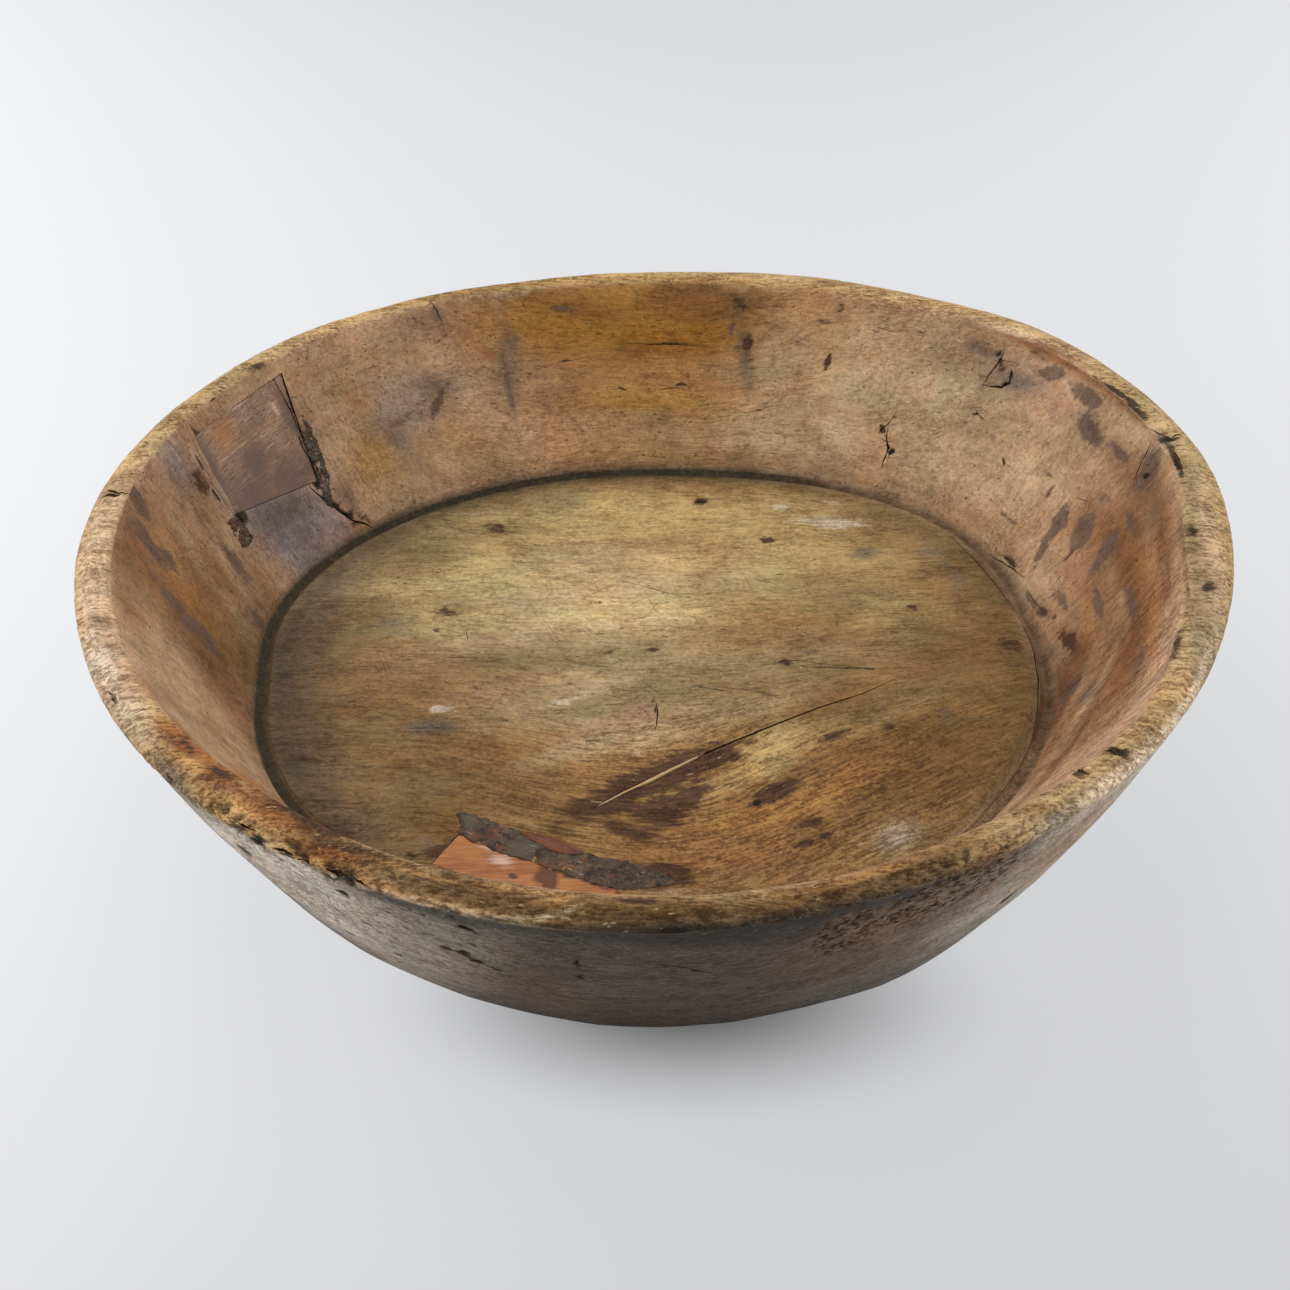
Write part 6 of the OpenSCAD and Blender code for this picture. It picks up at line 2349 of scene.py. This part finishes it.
@dataclass(frozen=True)
class Studio:
    """The pale floor, the soft lamps and the camera."""

    eye: tuple[float, float, float] = (-7.0, -1271.3, 1019.7)
    pitch: float = 36.5
    lens: float = 83.72
    sensor: float = 36.0
    floor_r: float = 14.0
    floor_tone: Colour = (0.74, 0.745, 0.76)
    # Ends of the floor's painted light, from near the camera to far off.
    near_tone: Colour = (0.543, 0.55, 0.563)
    far_tone: Colour = (0.94, 0.95, 0.975)
    shadow: Colour = (0.13, 0.127, 0.118)
    shadow_spot: Colour = (0.015, -0.185, 0)
    shadow_reach: tuple[float, float] = (0.15, 0.085)

    def camera(self) -> None:
        """Sets the camera where the photograph was taken."""
        data = bpy.data.cameras.new("camera")
        data.lens, data.sensor_width, data.clip_end = self.lens, self.sensor, 100.0
        obj = bpy.data.objects.new("camera", data)
        obj.location = Vector(self.eye) * MM
        obj.rotation_euler = (math.radians(90 - self.pitch), 0, 0)
        bpy.context.scene.collection.objects.link(obj)
        bpy.context.scene.camera = obj

    def floor(self) -> None:
        """Lays the pale floor: it mostly glows for camera and glossy rays, with painted light across it
        and a painted shadow in front of the bowl.
        """
        bpy.ops.mesh.primitive_circle_add(vertices=96, radius=self.floor_r, fill_type="NGON")
        obj = bpy.context.object
        obj.name = "studio_floor"
        tree = Tree("studio_floor")
        obj.data.materials.append(tree.finish(self.floor_tone, 0.9, Specular_IOR_Level=0.1))
        spot = tree.place()
        x = tree.node("ShaderNodeSeparateXYZ", {}, {0: spot}, 0)
        y = tree.node("ShaderNodeSeparateXYZ", {}, {0: spot}, 1)
        # Painted light: the floor is lighter at the left and far off, darker near the camera.
        fall = (x * x * 1.36 - x * 0.48 + y * 0.44 - y * y * 0.6 + x * y * 0.27 + 0.51).step(-0.25, 1.25)
        wide, deep = self.shadow_reach
        front = tree.scaled(tree.place(middle=self.shadow_spot), (1 / wide, 1 / deep, 1))
        near = tree.node("ShaderNodeVectorMath", {"operation": "LENGTH"}, {0: front},
                         "Value").step(0.0, 1.1)
        pale = tree.mix(self.near_tone, self.far_tone, fall)
        dim = tree.mix(pale, self.shadow, 1.0, "MULTIPLY")
        # The floor glows with this painted light and shadow for camera and glossy rays, so the bowl
        # reflects them.
        glow = tree.node("ShaderNodeEmission", {},
                         {"Color": tree.mix(dim, pale, near), "Strength": 1.0})
        ray = tree.node("ShaderNodeLightPath", {}, {}, "Is Camera Ray")
        gloss = tree.node("ShaderNodeLightPath", {}, {}, "Is Glossy Ray")
        both = tree.node("ShaderNodeMixShader", {}, {
            0: ray.high(gloss) * 0.86, 1: Value(tree, tree.shader.outputs[0]), 2: glow})
        tree.links.new(both.socket, tree.nodes["Material Output"].inputs["Surface"])

    def lamp(self, name: str, spot: tuple[float, float, float], size: tuple[float, float],
             power: float) -> None:
        """Hangs a soft lamp that faces the bowl.

        Args:
            name: Its name.
            spot: Where it hangs.
            size: Its width and height.
            power: Its power in watts.
        """
        data = bpy.data.lights.new(name, "AREA")
        data.shape, data.size, data.size_y, data.energy = "RECTANGLE", *size, power
        obj = bpy.data.objects.new(name, data)
        obj.location = spot
        obj.rotation_euler = (Vector((0, 0, 0.1)) - Vector(spot)).to_track_quat("-Z", "Y").to_euler()
        bpy.context.scene.collection.objects.link(obj)

    def world(self) -> None:
        """Fills the room with pale light."""
        world = bpy.data.worlds.new("room")
        world.use_nodes = True
        nodes, links = world.node_tree.nodes, world.node_tree.links
        spot = nodes.new("ShaderNodeTexCoord")
        part = nodes.new("ShaderNodeSeparateXYZ")
        ramp = nodes.new("ShaderNodeMapRange")
        ramp.inputs["From Min"].default_value, ramp.inputs["From Max"].default_value = -1.0, 0.4
        ramp.inputs["To Min"].default_value, ramp.inputs["To Max"].default_value = 0.34, 0.8
        links.new(spot.outputs["Generated"], part.inputs[0])
        links.new(part.outputs["Y"], ramp.inputs["Value"])
        links.new(ramp.outputs[0], nodes["Background"].inputs["Strength"])
        nodes["Background"].inputs["Color"].default_value = (1.0, 0.99, 0.98, 1.0)
        bpy.context.scene.world = world

    def build(self) -> None:
        """Sets the whole studio."""
        self.camera()
        self.floor()
        self.world()
        self.lamp("overhead", (-0.7, 0.3, 2.3), (2.2, 2.0), 23.0)
        self.lamp("left", (-2.1, -0.1, 0.75), (1.4, 1.2), 12.0)
        self.lamp("right", (2.2, -0.1, 0.7), (1.3, 1.2), 8.0)
        bpy.context.scene.view_settings.view_transform = "Standard"


def main() -> None:
    """Builds the bowl, its mends and the studio."""
    logging.basicConfig(level=logging.INFO, format="%(name)s: %(message)s")
    bpy.ops.object.select_all(action="DESELECT")
    form = BowlForm()
    mends: list[Mends] = [FloorMend(form), WallMend(form), Sliver(form)]
    # The cracks and the beds get a near-black finish: painted shade inside them.
    dirt = CrackShade().build()
    cutters = [cutter for mend in mends for cutter in mend.cutters()]
    for cutter in cutters:
        cutter.data.materials.append(dirt)
    bowl = Bowl(form)
    skin = bowl.shape()
    for mend in mends:
        mend.build(skin)
    bowl.build(skin, cutters)
    Studio().build()


if __name__ == "__main__":
    main()
